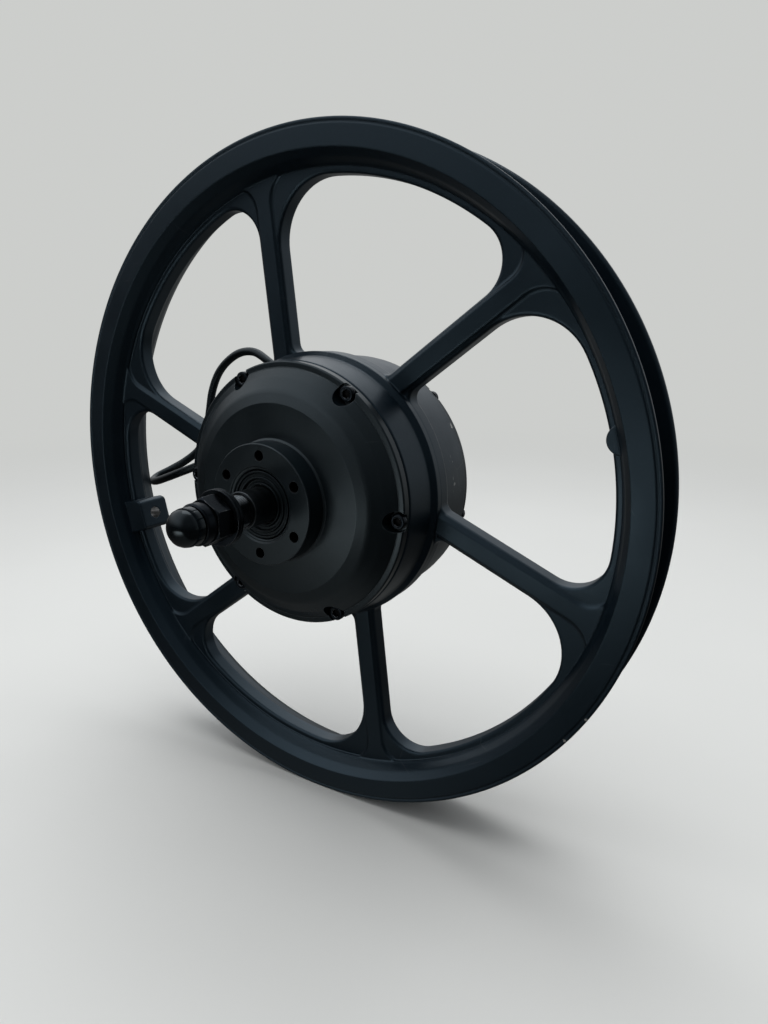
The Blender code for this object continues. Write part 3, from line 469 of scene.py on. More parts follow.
# Two chips on the rim's flange, three on the drum and the drum's rubbed patch, each with its radius
CHIPS = ((polar(160.2, -30.0, -15.6), 0.7), (polar(160.0, -35.3, -15.7), 0.7),
         (polar(61.9, 29.0, 26.6), 1.5), (polar(62.2, 4.0, 14.0), 0.8),
         (polar(62.1, 13.5, 14.6), 0.5))
SCUFFED = (polar(62.2, 10.0, 17.0), 15.0)
# The edge colours given to these finishes are painted highlights along the edges.
FINISH = {
    "satin_black_paint": paint((0.0018, 0.0050, 0.0088), (0.0030, 0.0068, 0.0112), 0.33,
                               CASTING_SHEEN, (0.022, 0.028, 0.034), 0.0009, CHIPS, SCUFFED),
    "cover_black_paint": paint((0.0026, 0.0054, 0.0076), (0.0042, 0.0074, 0.0098), 0.30,
                               COVER_SHEEN, (0.070, 0.082, 0.090), 0.0004),
    "blackened_steel": metal((0.012, 0.016, 0.021), (0.030, 0.037, 0.045), 0.25, 0.9,
                             edge=(0.34, 0.36, 0.38)),
    "bright_steel": metal((0.42, 0.43, 0.44), (0.58, 0.58, 0.59), 0.27, 0.9),
    "bearing_steel": metal((0.56, 0.56, 0.57), (0.66, 0.66, 0.67), 0.16, 0.6),
    "black_rubber": polymer((0.0030, 0.0050, 0.0064), (0.0050, 0.0078, 0.0096), 0.38,
                            1500.0, 0.00004, COVER_SHEEN),
    "black_moulding": polymer((0.0020, 0.0034, 0.0046), (0.0036, 0.0054, 0.0068), 0.13,
                              1100.0, 0.00001, COVER_SHEEN),
    "gear_nylon": polymer((0.66, 0.63, 0.54), (0.74, 0.71, 0.62), 0.42, 700.0, 0.00004),
    "cast_aluminium": metal((0.44, 0.44, 0.45), (0.56, 0.56, 0.56), 0.42, 0.5),
    "copper_winding": striped((0.36, 0.12, 0.05), (0.70, 0.30, 0.14), 0.30, 420.0, 0.0003),
    "core_steel": striped((0.20, 0.20, 0.21), (0.36, 0.36, 0.37), 0.36, 640.0, 0.00008),
    "magnet_nickel": metal((0.50, 0.49, 0.47), (0.62, 0.61, 0.58), 0.22),
    "circuit_board": printed_board(),
    "axle_steel": metal((0.075, 0.088, 0.100), (0.140, 0.158, 0.172), 0.25, 0.9,
                        edge=(0.40, 0.42, 0.44)),
    # Bare metal of the valve hole's wall, kept pale partly as a painted highlight.
    "bare_metal": metal((0.62, 0.62, 0.62), (0.78, 0.78, 0.77), 0.30, 0.4),
    # Near-black dull finish inside screw sockets and bolt holes: painted shade in these recesses.
    "socket_dark": metal((0.010, 0.010, 0.011), (0.022, 0.022, 0.023), 0.5),
}
for finish_name, finish in FINISH.items():
    finish.name = finish_name

# ---- mesh building


def object_from(name, verts, faces, materials, marks=None):
    """A closed mesh from points in millimetres; marks holds the material number of each face."""
    mesh = bpy.data.meshes.new(name)
    mesh.from_pydata([Vector(v) * MM for v in verts], [], faces)
    for material in materials:
        mesh.materials.append(material)
    if marks:
        mesh.polygons.foreach_set("material_index", marks)
    tidy_normals(mesh)
    return new_object(name, mesh)


def tidy_normals(mesh):
    """Turns every face outwards."""
    work = bmesh.new()
    work.from_mesh(mesh)
    bmesh.ops.recalc_face_normals(work, faces=work.faces)
    work.to_mesh(mesh)
    work.free()
    mesh.update()


def shade(made, degrees=38.0):
    """Smooth faces that keep their creases, with the large faces setting the normals."""
    made.data.shade_smooth()
    made.data.set_sharp_from_angle(angle=radians(degrees))
    weighted = made.modifiers.new("weighted", "WEIGHTED_NORMAL")
    weighted.keep_sharp = True


def settle(made, body, slot, *nodes):
    """Shades a finished piece and ties it to the frame."""
    if made.type == "MESH":
        shade(made)
    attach(made, body)
    if nodes:
        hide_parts(*nodes)
    return made


def combine(name, pieces):
    """Several meshes with the same materials made into one object."""
    work = bmesh.new()
    for made in pieces:
        work.from_mesh(made.data)
    mesh = bpy.data.meshes.new(name)
    work.to_mesh(mesh)
    work.free()
    for material in pieces[0].data.materials:
        mesh.materials.append(material)
    for made in pieces:
        bpy.data.objects.remove(made)
    return new_object(name, mesh)


def subtract(made, cutter):
    """Cuts one mesh from another for good; the cut faces keep the cutter's material."""
    modifier = made.modifiers.new("cut", "BOOLEAN")
    modifier.operation = "DIFFERENCE"
    modifier.solver = "EXACT"
    modifier.object = cutter
    bpy.context.view_layer.update()
    graph = bpy.context.evaluated_depsgraph_get()
    mesh = bpy.data.meshes.new_from_object(made.evaluated_get(graph))
    made.modifiers.clear()
    made.data = mesh
    bpy.data.objects.remove(cutter)


def rounded(outline, steps=4, closed=True):
    """An outline of (x, y, radius) corners as (x, y, *rest) points, each corner made an arc."""
    points = []
    count = len(outline)
    for i, corner in enumerate(outline):
        x, y, radius, *rest = (*corner, 0.0) if len(corner) == 2 else corner
        at_end = not closed and i in (0, count - 1)
        if radius <= 0.0 or at_end:
            points.append((x, y, *rest))
            continue
        p = Vector((x, y))
        back = Vector(outline[i - 1][:2]) - p
        ahead = Vector(outline[(i + 1) % count][:2]) - p
        angle = back.angle(ahead)
        reach = min(radius / tan(angle / 2), back.length * 0.49, ahead.length * 0.49)
        size = reach * tan(angle / 2)
        centre = p + (back.normalized() + ahead.normalized()).normalized() * size / sin(angle / 2)
        start = p + back.normalized() * reach - centre
        end = p + ahead.normalized() * reach - centre
        sweep = start.angle(end)
        turn = 1.0 if start.x * end.y - start.y * end.x > 0 else -1.0
        for k in range(steps + 1):
            a = turn * sweep * k / steps
            spun = Vector((start.x * cos(a) - start.y * sin(a),
                           start.x * sin(a) + start.y * cos(a)))
            points.append((centre.x + spun.x, centre.y + spun.y, *rest))
    return points


def turned(profile, segments, closed=True, shape=None, place=None):
    """(verts, faces) of an (r, y) outline turned round the Y axis. shape(r, y, angle) may alter r."""
    verts = []
    rows = []
    faces = []
    for r, y, *_ in profile:
        if r < 1e-6:
            rows.append([len(verts)])
            verts.append((0.0, y, 0.0))
            continue
        rows.append(list(range(len(verts), len(verts) + segments)))
        for k in range(segments):
            a = 2 * pi * k / segments
            size = shape(r, y, a) if shape else r
            verts.append((size * cos(a), y, size * sin(a)))
    pairs = list(zip(rows, rows[1:])) + ([(rows[-1], rows[0])] if closed else [])
    for low, high in pairs:
        for k in range(segments):
            j = (k + 1) % segments
            face = [low[k % len(low)], low[j % len(low)], high[j % len(high)], high[k % len(high)]]
            face = list(dict.fromkeys(face))
            if len(face) > 2:
                faces.append(face)
    if place is not None:
        verts = [place @ Vector(v) for v in verts]
    return verts, faces


def prism(outline, y0, y1, edge=0.0, steps=3):
    """(verts, faces) of a flat (x, z) outline between two heights, its end edges rounded."""
    loops = [(y0 + edge * (1 - cos(a)), edge * (1 - sin(a)))
             for a in (pi / 2 * k / steps for k in range(steps + 1))]
    loops += [(y1 - edge * (1 - cos(a)), edge * (1 - sin(a)))
              for a in (pi / 2 * k / steps for k in range(steps, -1, -1))]
    if edge == 0.0:
        loops = [(y0, 0.0), (y1, 0.0)]
    middle = sum((Vector(p) for p in outline), Vector((0.0, 0.0))) / len(outline)
    reach = max((Vector(p) - middle).length for p in outline)
    verts = []
    faces = []
    n = len(outline)
    for y, inward in loops:
        for p in outline:
            q = middle + (Vector(p) - middle) * (1.0 - inward / reach)
            verts.append((q.x, y, q.y))
    for row in range(len(loops) - 1):
        for k in range(n):
            j = (k + 1) % n
            faces.append([row * n + k, row * n + j, (row + 1) * n + j, (row + 1) * n + k])
    faces.append(list(range(n)))
    faces.append([(len(loops) - 1) * n + k for k in range(n)])
    return verts, faces


def at(r, degrees, y=0.0):
    return Matrix.Translation(polar(r, degrees, y))


def facing(degrees, y=0.0):
    """Turns a shape made round the Y axis so that it points outwards at this angle."""
    out = polar(1.0, degrees)
    turn = Vector((0.0, 1.0, 0.0)).rotation_difference(out).to_matrix().to_4x4()
    return Matrix.Translation((0.0, y, 0.0)) @ turn


def lathe(name, profile, segments, materials, steps=4, closed=True, shape=None, place=None):
    """A turned object whose outline has (r, y, radius) corners."""
    verts, faces = turned(rounded(profile, steps, closed), segments, closed, shape, place)
    return object_from(name, verts, faces, materials)


# ---- cable


def smooth_route(points, steps):
    """Points along a curve that passes through every given point."""
    route = []
    ends = [points[0] * 2 - points[1]] + points + [points[-1] * 2 - points[-2]]
    for i in range(1, len(ends) - 2):
        p0, p1, p2, p3 = ends[i - 1:i + 3]
        for k in range(steps):
            t = k / steps
            route.append(0.5 * (2 * p1 + (p2 - p0) * t + (2 * p0 - 5 * p1 + 4 * p2 - p3) * t * t
                                + (3 * p1 - p0 - 3 * p2 + p3) * t**3))
    route.append(points[-1])
    return route


def cable_points(steps):
    start = [polar(5.0, CABLE_EXIT_DEG, CABLE_EXIT_Y), polar(14.0, CABLE_EXIT_DEG, CABLE_EXIT_Y)]
    return smooth_route(start + [Vector(p) for p in CABLE_ROUTE], steps)


def motor_cable(points):
    curve = bpy.data.curves.new("motor_cable_sheath", "CURVE")
    curve.dimensions = "3D"
    curve.bevel_depth = CABLE_R * MM
    curve.bevel_resolution = 6
    curve.use_fill_caps = True
    spline = curve.splines.new("POLY")
    spline.points.add(len(points) - 1)
    for slot, point in zip(spline.points, points):
        slot.co = (*(point * MM), 1.0)
    spline.use_smooth = True
    curve.materials.append(FINISH["black_rubber"])
    made = new_object("motor_cable_sheath", curve)
    return settle(made, "axle_assembly", "black_rubber", "motor_cable")


def grip_ribs(r, y, angle):
    """Shallow finger grooves round the plug's body."""
    if 7.2 < y < 19.6:
        return r - 0.35 * max(0.0, sin(angle * 14)) ** 2
    return r


def cable_plug(points):
    """The moulded multi-pin plug: tapered neck, ribbed grip, socket with its pins."""
    end = points[-1]
    out = (points[-1] - points[-2]).normalized()
    turn = Vector((0.0, 1.0, 0.0)).rotation_difference(out).to_matrix().to_4x4()
    place = Matrix.Translation(end) @ turn
    shell = lathe("cable_plug_shell", [
        (2.75, -6.0), (3.4, -6.0, 0.3), (3.5, -4.0, 0.2), (3.15, -3.4, 0.2), (3.7, -1.4, 0.2),
        (3.4, -0.8, 0.2), (4.3, 3.6, 0.4), (6.1, 5.8, 0.5), (6.45, 7.0, 0.2), (6.5, 7.4),
        (6.5, 10.0), (6.5, 13.0), (6.5, 16.0), (6.5, 19.4), (6.5, 20.0, 0.3), (5.65, 20.4, 0.2),
        (5.6, 21.6, 0.1), (5.35, 21.9, 0.1), (5.6, 22.2, 0.1), (5.6, 28.0, 0.35), (4.7, 28.0, 0.2),
        (4.7, 14.2, 0.2), (0.0, 14.2), (0.0, 0.4), (2.75, 0.4),
    ], 112, [FINISH["black_moulding"]], 2, True, grip_ribs, place)
    pins = []
    for k in range(6):
        spot = Matrix.Translation((2.6 * cos(k * pi / 3), 0.0,
                                   2.6 * sin(k * pi / 3)))
        pins.append(lathe(f"pin_{k}", [(0.0, 14.0), (0.45, 14.0), (0.45, 22.0, 0.3), (0.0, 22.3)],
                          12, [FINISH["bearing_steel"]], 2, False, None, place @ spot))
    contacts = combine("cable_plug_pins", pins)
    settle(shell, "axle_assembly", "black_moulding", "cable_plug")
    settle(contacts, "axle_assembly", "bearing_steel")
    return [shell, contacts]


def strain_relief():
    made = lathe("cable_grommet", [
        (2.75, 9.0), (4.4, 9.0, 0.3), (4.4, 12.0, 0.4), (3.6, 12.6, 0.2), (3.5, 13.4, 0.2),
        (4.1, 14.2, 0.3), (4.05, 15.6, 0.3), (3.4, 16.2, 0.2), (3.4, 17.0, 0.2), (3.8, 17.7, 0.3),
        (3.75, 19.0, 0.3), (3.25, 19.6, 0.2), (3.25, 20.4, 0.2), (3.55, 21.1, 0.3),
        (3.5, 22.4, 0.3), (3.2, 23.0, 0.2), (3.15, 27.6, 0.2), (2.75, 27.9),
    ], 48, [FINISH["black_rubber"]], 3, True, None, facing(CABLE_EXIT_DEG, CABLE_EXIT_Y))
    return settle(made, "axle_assembly", "black_rubber", "cable_strain_relief")


route = cable_points(5)
cable = motor_cable(route)
cable_plug(route)
strain_relief()

# ---- wheel casting


def spoke_point(angle, side, along):
    """The (x, z) point this far along a spoke and to its side."""
    return Vector((cos(angle) * along - sin(angle) * side,
                   sin(angle) * along + cos(angle) * side))


def window_outline(index, grow):
    """One opening between two spokes as (x, z) points, grown into the metal by grow."""
    ahead = radians(SPOKE_FIRST_DEG + SPOKE_STEP_DEG * index)
    behind = ahead + radians(SPOKE_STEP_DEG)
    near = SPOKE_OFFSET + SPOKE_WIDTH / 2
    far = SPOKE_OFFSET - SPOKE_WIDTH / 2
    points = []

    def put(centre, radius, direction, inside):
        p = centre + direction * (radius - grow if inside else radius + grow)
        points.append((p.x, p.y))

    def arc(centre, start, end, radius, steps, inside=False):
        first = atan2((start - centre).y, (start - centre).x)
        sweep = atan2((end - centre).y, (end - centre).x) - first
        sweep = (sweep + pi) % (2 * pi) - pi
        for k in range(steps + 1):
            a = first + sweep * k / steps
            put(centre, radius, Vector((cos(a), sin(a))), inside)

    def corner(angle, side, away, fillet, circle_r, outer):
        """A fillet's centre, where it leaves the spoke and where it meets the circle."""
        middle = side + away * fillet
        reach = circle_r - fillet if outer else circle_r + fillet
        along = sqrt(reach**2 - middle**2)
        centre = spoke_point(angle, middle, along)
        return centre, spoke_point(angle, side, along), centre * (circle_r / centre.length)

    origin = Vector((0.0, 0.0))
    root_a, foot_a, ring_a = corner(ahead, near, 1.0, FILLET_ROOT, ROOT_R, False)
    rim_a, top_a, crest_a = corner(ahead, near, 1.0, FILLET_AHEAD, CREST_R, True)
    rim_b, top_b, crest_b = corner(behind, far, -1.0, FILLET_BEHIND, CREST_R, True)
    root_b, foot_b, ring_b = corner(behind, far, -1.0, FILLET_ROOT, ROOT_R, False)
    arc(root_a, ring_a, foot_a, FILLET_ROOT, 7)
    arc(rim_a, top_a, crest_a, FILLET_AHEAD, 18)
    arc(origin, crest_a, crest_b, CREST_R, 24)
    arc(rim_b, crest_b, top_b, FILLET_BEHIND, 20)
    arc(root_b, foot_b, ring_b, FILLET_ROOT, 7)
    arc(origin, ring_b, ring_a, ROOT_R, 14, True)
    clean = []
    for p in points:
        if not clean or (Vector(p) - Vector(clean[-1])).length > 0.02:
            clean.append(p)
    return clean


def web_plate(materials):
    """The plate between drum and rim: six openings whose edges are rounded front and back."""
    steps = 5
    levels = []
    for k in range(steps + 1):
        a = pi / 2 * k / steps
        levels.append((WEB_FRONT_Y + WEB_ROUND * (1 - cos(a)), WEB_ROUND * (1 - sin(a))))
    levels += [(WEB_FRONT_Y + WEB_REAR_Y - y, grow) for y, grow in reversed(levels)]
    verts = []
    faces = []
    ends = []

    def tube(loops):
        rows = []
        for loop, y in loops:
            rows.append(list(range(len(verts), len(verts) + len(loop))))
            verts.extend((x, y, z) for x, z in loop)
        for low, high in zip(rows, rows[1:]):
            for i in range(len(low)):
                j = (i + 1) % len(low)
                faces.append([low[i], low[j], high[j], high[i]])
        ends.append((rows[0], rows[-1]))

    def ring_loop(r, count):
        return [(r * cos(2 * pi * k / count), r * sin(2 * pi * k / count))
                for k in range(count)]

    for r, count in ((WEB_OUTER_R, 240), (WEB_INNER_R, 120)):
        tube([(ring_loop(r, count), WEB_FRONT_Y), (ring_loop(r, count), WEB_REAR_Y)])
    for index in range(SPOKE_COUNT):
        loops = [window_outline(index, grow) for _, grow in levels]
        tube([(loop, y) for loop, (y, _) in zip(loops, levels)])
    for side in (0, 1):
        names = [i for pair in ends for i in pair[side]]
        loops = [[Vector((verts[i][0], verts[i][2], 0.0)) for i in pair[side]] for pair in ends]
        faces.extend([names[i] for i in triangle] for triangle in tessellate_polygon(loops))
    return object_from("web", verts, faces, materials)


def rib_stations():
    """Radii along a rib, each with how far both its sides have swept outwards there."""
    reach = RIB_FLARE_R * sin(radians(RIB_FLARE_DEG))
    stations = [(RIB_START_R, 0.0)]
    for k in range(RIB_FLARE_STEPS + 1):
        turn = radians(RIB_FLARE_DEG * k / RIB_FLARE_STEPS)
        r = RIB_END_R - reach + RIB_FLARE_R * sin(turn)
        stations.append((r, RIB_FLARE_R * (1.0 - cos(turn))))
    return stations


def spoke_rib(index, materials):
    """The rib that stands on the plate along one spoke, front and back, and flares into the rim."""
    angle = radians(SPOKE_FIRST_DEG + SPOKE_STEP_DEG * index)
    face = RIB_FACE_WIDTH / 2
    foot = RIB_FOOT_WIDTH / 2
    front = WEB_FRONT_Y + RIB_FOOT_DEPTH
    rear = WEB_REAR_Y - RIB_FOOT_DEPTH
    section = rounded([
        (-face, RIB_FRONT_Y, RIB_ROUND), (face, RIB_FRONT_Y, RIB_ROUND),
        (foot, front, RIB_FOOT_ROUND), (foot, rear, RIB_FOOT_ROUND),
        (face, RIB_REAR_Y, RIB_ROUND), (-face, RIB_REAR_Y, RIB_ROUND),
        (-foot, rear, RIB_FOOT_ROUND), (-foot, front, RIB_FOOT_ROUND),
    ], 4)
    stations = rib_stations()
    verts = []
    n = len(section)
    for r, flare in stations:
        for offset, y in section:
            side = SPOKE_OFFSET + offset + copysign(flare, offset)
            p = spoke_point(angle, side, sqrt(r**2 - side**2))
            verts.append((p.x, y, p.y))
    last = n * (len(stations) - 1)
    faces = [[k + i, k + (i + 1) % n, k + n + (i + 1) % n, k + n + i]
             for k in range(0, last, n) for i in range(n)]
    faces += [list(range(n)), list(range(last, last + n))]
    return object_from(f"rib_{index}", verts, faces, materials)


def rim(materials):
    """The rim: flange with its bead and groove, slope down to the crease, and the tyre channel."""
    side = [
        (BARREL_R, -5.0), (BARREL_R - 0.1, -5.9, 0.35), (144.9, -7.4, 1.2), (146.6, -11.5, 9.0),
        (149.6, -15.9, 0.3), (158.6, -15.9, 0.35), (158.95, -15.5, 0.2), (159.4, -15.5, 0.2),
        (159.7, -15.85, 0.3), (161.0, -15.9, 0.8), (161.0, -14.0, 0.8), (160.2, -12.9, 0.6),
        (152.8, -12.9, 0.9), (151.9, -7.6, 1.6), (146.3, -4.6, 1.6), (145.7, -3.4, 1.2),
    ]
    rear = [(r, -y, *rest) for r, y, *rest in reversed(side)]
    return lathe("rim", side + rear, 288, materials, 4)


def drum(materials):
    return lathe("drum", [
        (54.5, -26.5, 0.3), (61.6, -26.5, 0.7), (62.7, -10.4, 1.5), (64.9, -7.6, 0.9),
        (64.5, 2.3, 0.9), (63.2, 3.6, 0.7), (61.7, 27.3, 0.7), (54.5, 27.3, 0.3),
    ], 192, materials, 4)


def valve_pad(materials):
    """The thickened seat for the valve stem, standing in from the rim's inner face."""
    outline = rounded([
        (-VALVE_PAD_HALF, 145.2), (-VALVE_PAD_HALF, 134.2, 2.0), (-7.6, VALVE_PAD_TOP_R, 2.0),
        (7.6, VALVE_PAD_TOP_R, 2.0), (VALVE_PAD_HALF, 134.2, 2.0), (VALVE_PAD_HALF, 145.2),
    ], 6)
    verts, faces = prism(outline, -VALVE_PAD_HALF_LENGTH, VALVE_PAD_HALF_LENGTH, 1.3, 4)
    turn = Matrix.Rotation(radians(90.0 - VALVE_DEG), 4, "Y")
    return object_from("pad", [turn @ Vector(v) for v in verts], faces, materials)


def balance_boss(materials):
    """The small round boss on the rim's inner face."""
    middle = polar(BOSS_CENTRE_R, BOSS_DEG)
    outline = []
    for k in range(64):
        a = 2 * pi * k / 64
        p = Vector((middle.x + BOSS_R * cos(a), middle.z + BOSS_R * sin(a)))
        if p.length < WEB_OUTER_R:
            outline.append(p)
    outline.sort(key=lambda p: (atan2(p.y - middle.z, p.x - middle.x)
                                - radians(BOSS_DEG)) % (2 * pi))
    verts, faces = prism([tuple(p) for p in outline], -7.2, 6.6, 0.9, 4)
    return object_from("boss", verts, faces, materials)


def wheel_casting():
    """The painted casting with its drilled valve hole, whose wall is bare metal, kept pale partly as a
    painted highlight for the light seen through the hole.
    """
    materials = [FINISH["satin_black_paint"], FINISH["bare_metal"]]
    hoop = rim(materials)
    pad = valve_pad(materials)
    web = web_plate(materials)
    bore = [(0.0, 125.0), (VALVE_HOLE_R, 125.0), (VALVE_HOLE_R, 155.0), (0.0, 155.0)]
    for target in (hoop, pad, web):
        verts, faces = turned(bore, 48, False, None, facing(VALVE_DEG))
        hole = object_from("valve_hole", verts, faces, materials, [1] * len(faces))
        subtract(target, hole)
    pieces = [hoop, pad, web, drum(materials), balance_boss(materials)]
    pieces += [spoke_rib(index, materials) for index in range(SPOKE_COUNT)]
    return settle(combine("wheel_casting_painted", pieces), "wheel", "satin_black_paint",
                  "wheel_casting")


wheel_casting()

# ---- hub covers


def cover_cutters(sign, floor_y, first_deg, materials):
    """Screw holes with spot-faced seats that break out through the cover's edge."""
    cutters = []
    profile = rounded([
        (0.0, 20.0), (SCREW_HOLE_R, 20.0), (SCREW_HOLE_R, floor_y), (SCREW_SEAT_R, floor_y, 0.4),
        (SCREW_SEAT_R, 45.0), (0.0, 45.0),
    ], 3, False)
    for k in range(COVER_SCREW_COUNT):
        place = at(COVER_SCREW_CIRCLE_R, first_deg + COVER_SCREW_STEP_DEG * k)
        verts, faces = turned([(r, sign * y) for r, y in profile], 40, False, None, place)
        cutters.append(object_from(f"seat_{k}", verts, faces, materials, [0] * len(faces)))
    return combine("seats", cutters)


def disc_side_cover():
    """The front cover: neck, brake-disc flange with its bolt holes, cone and screw seats."""
    materials = [FINISH["cover_black_paint"], FINISH["socket_dark"]]
    cover = lathe("disc_side_cover_painted", [
        (15.5, -46.6), (15.5, -50.4, 0.2), (16.1, -51.1, 0.25), (16.9, -51.1, 0.2),
        (17.3, -51.8, 0.25), (27.0, -51.8, 0.2), (27.3, -51.5, 0.2), (27.3, -41.9, 0.4),
        (28.2, -41.3, 0.4), (43.6, -41.0, 0.7), (49.0, -39.2, 9.0), (54.4, -35.2, 9.0),
        (58.2, -31.6, 0.8), (58.5, -31.0, 0.25), (59.0, -31.1, 0.3), (60.8, -31.0, 0.5),
        (61.3, -30.5, 0.4), (61.3, -26.9, 0.3), (54.0, -26.9), (54.0, -25.2), (51.4, -25.2),
        (50.2, -31.0, 2.0), (43.0, -37.3, 2.0), (12.6, -37.3), (12.6, -39.2), (14.3, -39.2),
        (14.3, -46.6),
    ], 192, materials, 4)
    subtract(cover, cover_cutters(-1.0, DISC_SEAT_Y, DISC_SCREW_DEG, materials))
    holes = []
    profile = [(0.0, -60.0), (BOLT_MOUTH_R, -60.0), (BOLT_MOUTH_R, -51.85), (BOLT_HOLE_R, -51.5),
               (BOLT_HOLE_R, -42.6), (0.0, -42.0)]
    for k in range(DISC_PATTERN_COUNT):
        place = at(DISC_PATTERN_R, DISC_PATTERN_DEG + 360.0 * k / DISC_PATTERN_COUNT)
        verts, faces = turned(profile, 32, False, None, place)
        # The bolt holes' walls take the near-black dull finish: painted shade.
        holes.append(object_from(f"bolt_hole_{k}", verts, faces, materials, [1] * len(faces)))
    subtract(cover, combine("bolt_holes", holes))
    return settle(cover, "wheel", "cover_black_paint", "disc_side_cover")


def cable_side_cover():
    """The rear cover: seal boss, flat with a shallow groove, bevel and screw seats."""
    materials = [FINISH["cover_black_paint"], FINISH["socket_dark"]]
    cover = lathe("cable_side_cover_painted", [
        (15.3, 50.4, 0.2), (21.4, 50.4, 0.4), (22.0, 49.8, 0.3), (22.0, 42.0, 1.0),
        (23.3, 40.8, 0.8), (30.0, 40.75, 1.0), (30.4, 40.2, 0.2), (31.4, 40.2, 0.2),
        (31.8, 40.72, 0.3), (43.6, 40.6, 0.9), (49.0, 39.0, 9.0), (54.4, 35.0, 9.0),
        (58.2, 31.4, 0.8), (58.5, 30.8, 0.25), (59.0, 30.9, 0.3), (60.7, 30.8, 0.5),
        (61.2, 30.3, 0.4), (61.2, 27.7, 0.3), (54.0, 27.7), (54.0, 26.0), (51.4, 26.0),
        (50.2, 31.0, 2.0), (43.0, 36.8, 2.0), (13.2, 36.8), (13.2, 38.4), (15.3, 38.4),
    ], 192, materials, 4)
    subtract(cover, cover_cutters(1.0, CABLE_SEAT_Y, CABLE_SCREW_DEG, materials))
    return settle(cover, "wheel", "cover_black_paint", "cable_side_cover")


def hexagon(r, angle):
    """Distance from the middle of a hexagon to its side, r being half the width across flats."""
    return r / cos((angle + pi / 6) % (pi / 3) - pi / 6)


def cover_screw(side, index, sign, seat_y, first_deg):
    """A socket-head screw with its hexagon recess."""
    def shape(r, y, angle):
        return hexagon(r, angle) if r == SCREW_SOCKET_R else r

    seat_y += SEAT_GAP
    top_y = seat_y + SCREW_HEAD_HEIGHT
    outline = [
        (0.0, SCREW_END_Y), (1.6, SCREW_END_Y), (SCREW_SHANK_R, SCREW_END_Y + 0.4),
        (SCREW_SHANK_R, seat_y), (3.1, seat_y), (SCREW_HEAD_R, seat_y + 0.3),
        (SCREW_HEAD_R, top_y - 0.6), (3.38, top_y - 0.25), (3.05, top_y), (2.2, top_y),
        (2.0, top_y - 0.12), (SCREW_SOCKET_R, top_y - 0.25), (SCREW_SOCKET_R, top_y - 1.8),
        (0.0, top_y - 2.1),
    ]
    segments = 36
    place = at(COVER_SCREW_CIRCLE_R, first_deg + COVER_SCREW_STEP_DEG * index)
    verts, faces = turned([(r, sign * y) for r, y in outline], segments, False, shape, place)
    socket_from = 10 * segments
    # The hexagon recess takes the near-black dull finish: painted shade.
    marks = [1 if min(face) >= socket_from else 0 for face in faces]
    name = f"{side}_cover_screw_{index + 1}"
    materials = [FINISH["blackened_steel"], FINISH["socket_dark"]]
    made = object_from(name + "_head", verts, faces, materials, marks)
    return settle(made, "wheel", "blackened_steel", name)


def oil_seals():
    """Rubber lips between the axle and the covers."""
    front = lathe("disc_side_oil_seal_lip", [
        (8.7, -50.2, 0.2), (9.7, -50.5, 0.3), (10.2, -49.3, 0.2), (11.3, -49.3, 0.2),
        (11.7, -50.9, 0.3), (12.5, -51.0, 0.3), (12.9, -50.0, 0.2), (13.9, -50.0, 0.2),
        (14.3, -51.0, 0.3), (15.2, -51.0, 0.3), (15.2, -46.9), (9.4, -46.9),
    ], 96, [FINISH["black_rubber"]], 3)
    settle(front, "wheel", "black_rubber", "disc_side_oil_seal")
    low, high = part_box("cable_side_oil_seal")
    r = high.x / MM
    rear = lathe("cable_side_oil_seal_lip", [
        (8.9, 49.4, 0.2), (10.2, 49.4, 0.3), (10.9, 48.8, 0.3), (11.9, 49.0, 0.3),
        (12.2, high.y / MM, 0.35), (r, high.y / MM, 0.35), (r, low.y / MM), (9.6, low.y / MM),
    ], 96, [FINISH["black_rubber"]], 3)
    settle(rear, "wheel", "black_rubber", "cable_side_oil_seal")


disc_side_cover()
cable_side_cover()
for number in range(COVER_SCREW_COUNT):
    cover_screw("disc", number, -1.0, DISC_SEAT_Y, DISC_SCREW_DEG)
    cover_screw("cable", number, 1.0, CABLE_SEAT_Y, CABLE_SCREW_DEG)
oil_seals()

# ---- axle and its hardware


def axle():
    """The shaft: round under the seals, flatted and threaded at both ends."""
    def shape(r, y, angle):
        if abs(y) > SHOULDER_Y + 0.3:
            wave = abs((y / THREAD_PITCH + angle / (2 * pi)) % 1.0 - 0.5) * 2.0
            r -= THREAD_DEPTH * wave
            return min(r, FLAT_HALF / max(abs(cos(angle)), 1e-6))
        return r

    def threaded(y0, y1, r):
        rows = round(abs(y1 - y0) / THREAD_PITCH * 8)
        return [(r, y0 + (y1 - y0) * k / rows) for k in range(rows + 1)]

    profile = [(0.0, -AXLE_END_Y)] + threaded(-AXLE_END_Y, -WASHER_Y, AXLE_END_R)
    profile += threaded(-WASHER_Y, -SHOULDER_Y - 0.31, AXLE_STEP_R)
    profile += [(AXLE_STEP_R, -SHOULDER_Y - 0.29), (AXLE_STEP_R, 8.9), (AXLE_R, 8.9),
                (AXLE_R, SHOULDER_Y - 0.4), (AXLE_R - 0.4, SHOULDER_Y), (AXLE_STEP_R, SHOULDER_Y),
                (AXLE_STEP_R, SHOULDER_Y + 0.29)]
    profile += threaded(SHOULDER_Y + 0.31, WASHER_Y, AXLE_STEP_R)
    profile += threaded(WASHER_Y, AXLE_END_Y, AXLE_END_R) + [(0.0, AXLE_END_Y)]
    made = lathe("axle_shaft", profile, 96, [FINISH["axle_steel"]], 1, False, shape)
    return settle(made, "axle_assembly", "blackened_steel", "axle")


def axle_sleeve():
    made = lathe("disc_side_sleeve_turned", [
        (7.3, -SHOULDER_Y), (AXLE_R, -SHOULDER_Y, 0.35), (AXLE_R, -46.8), (7.3, -46.8),
    ], 96, [FINISH["axle_steel"]], 3)
    return settle(made, "axle_assembly", "blackened_steel", "disc_side_sleeve")


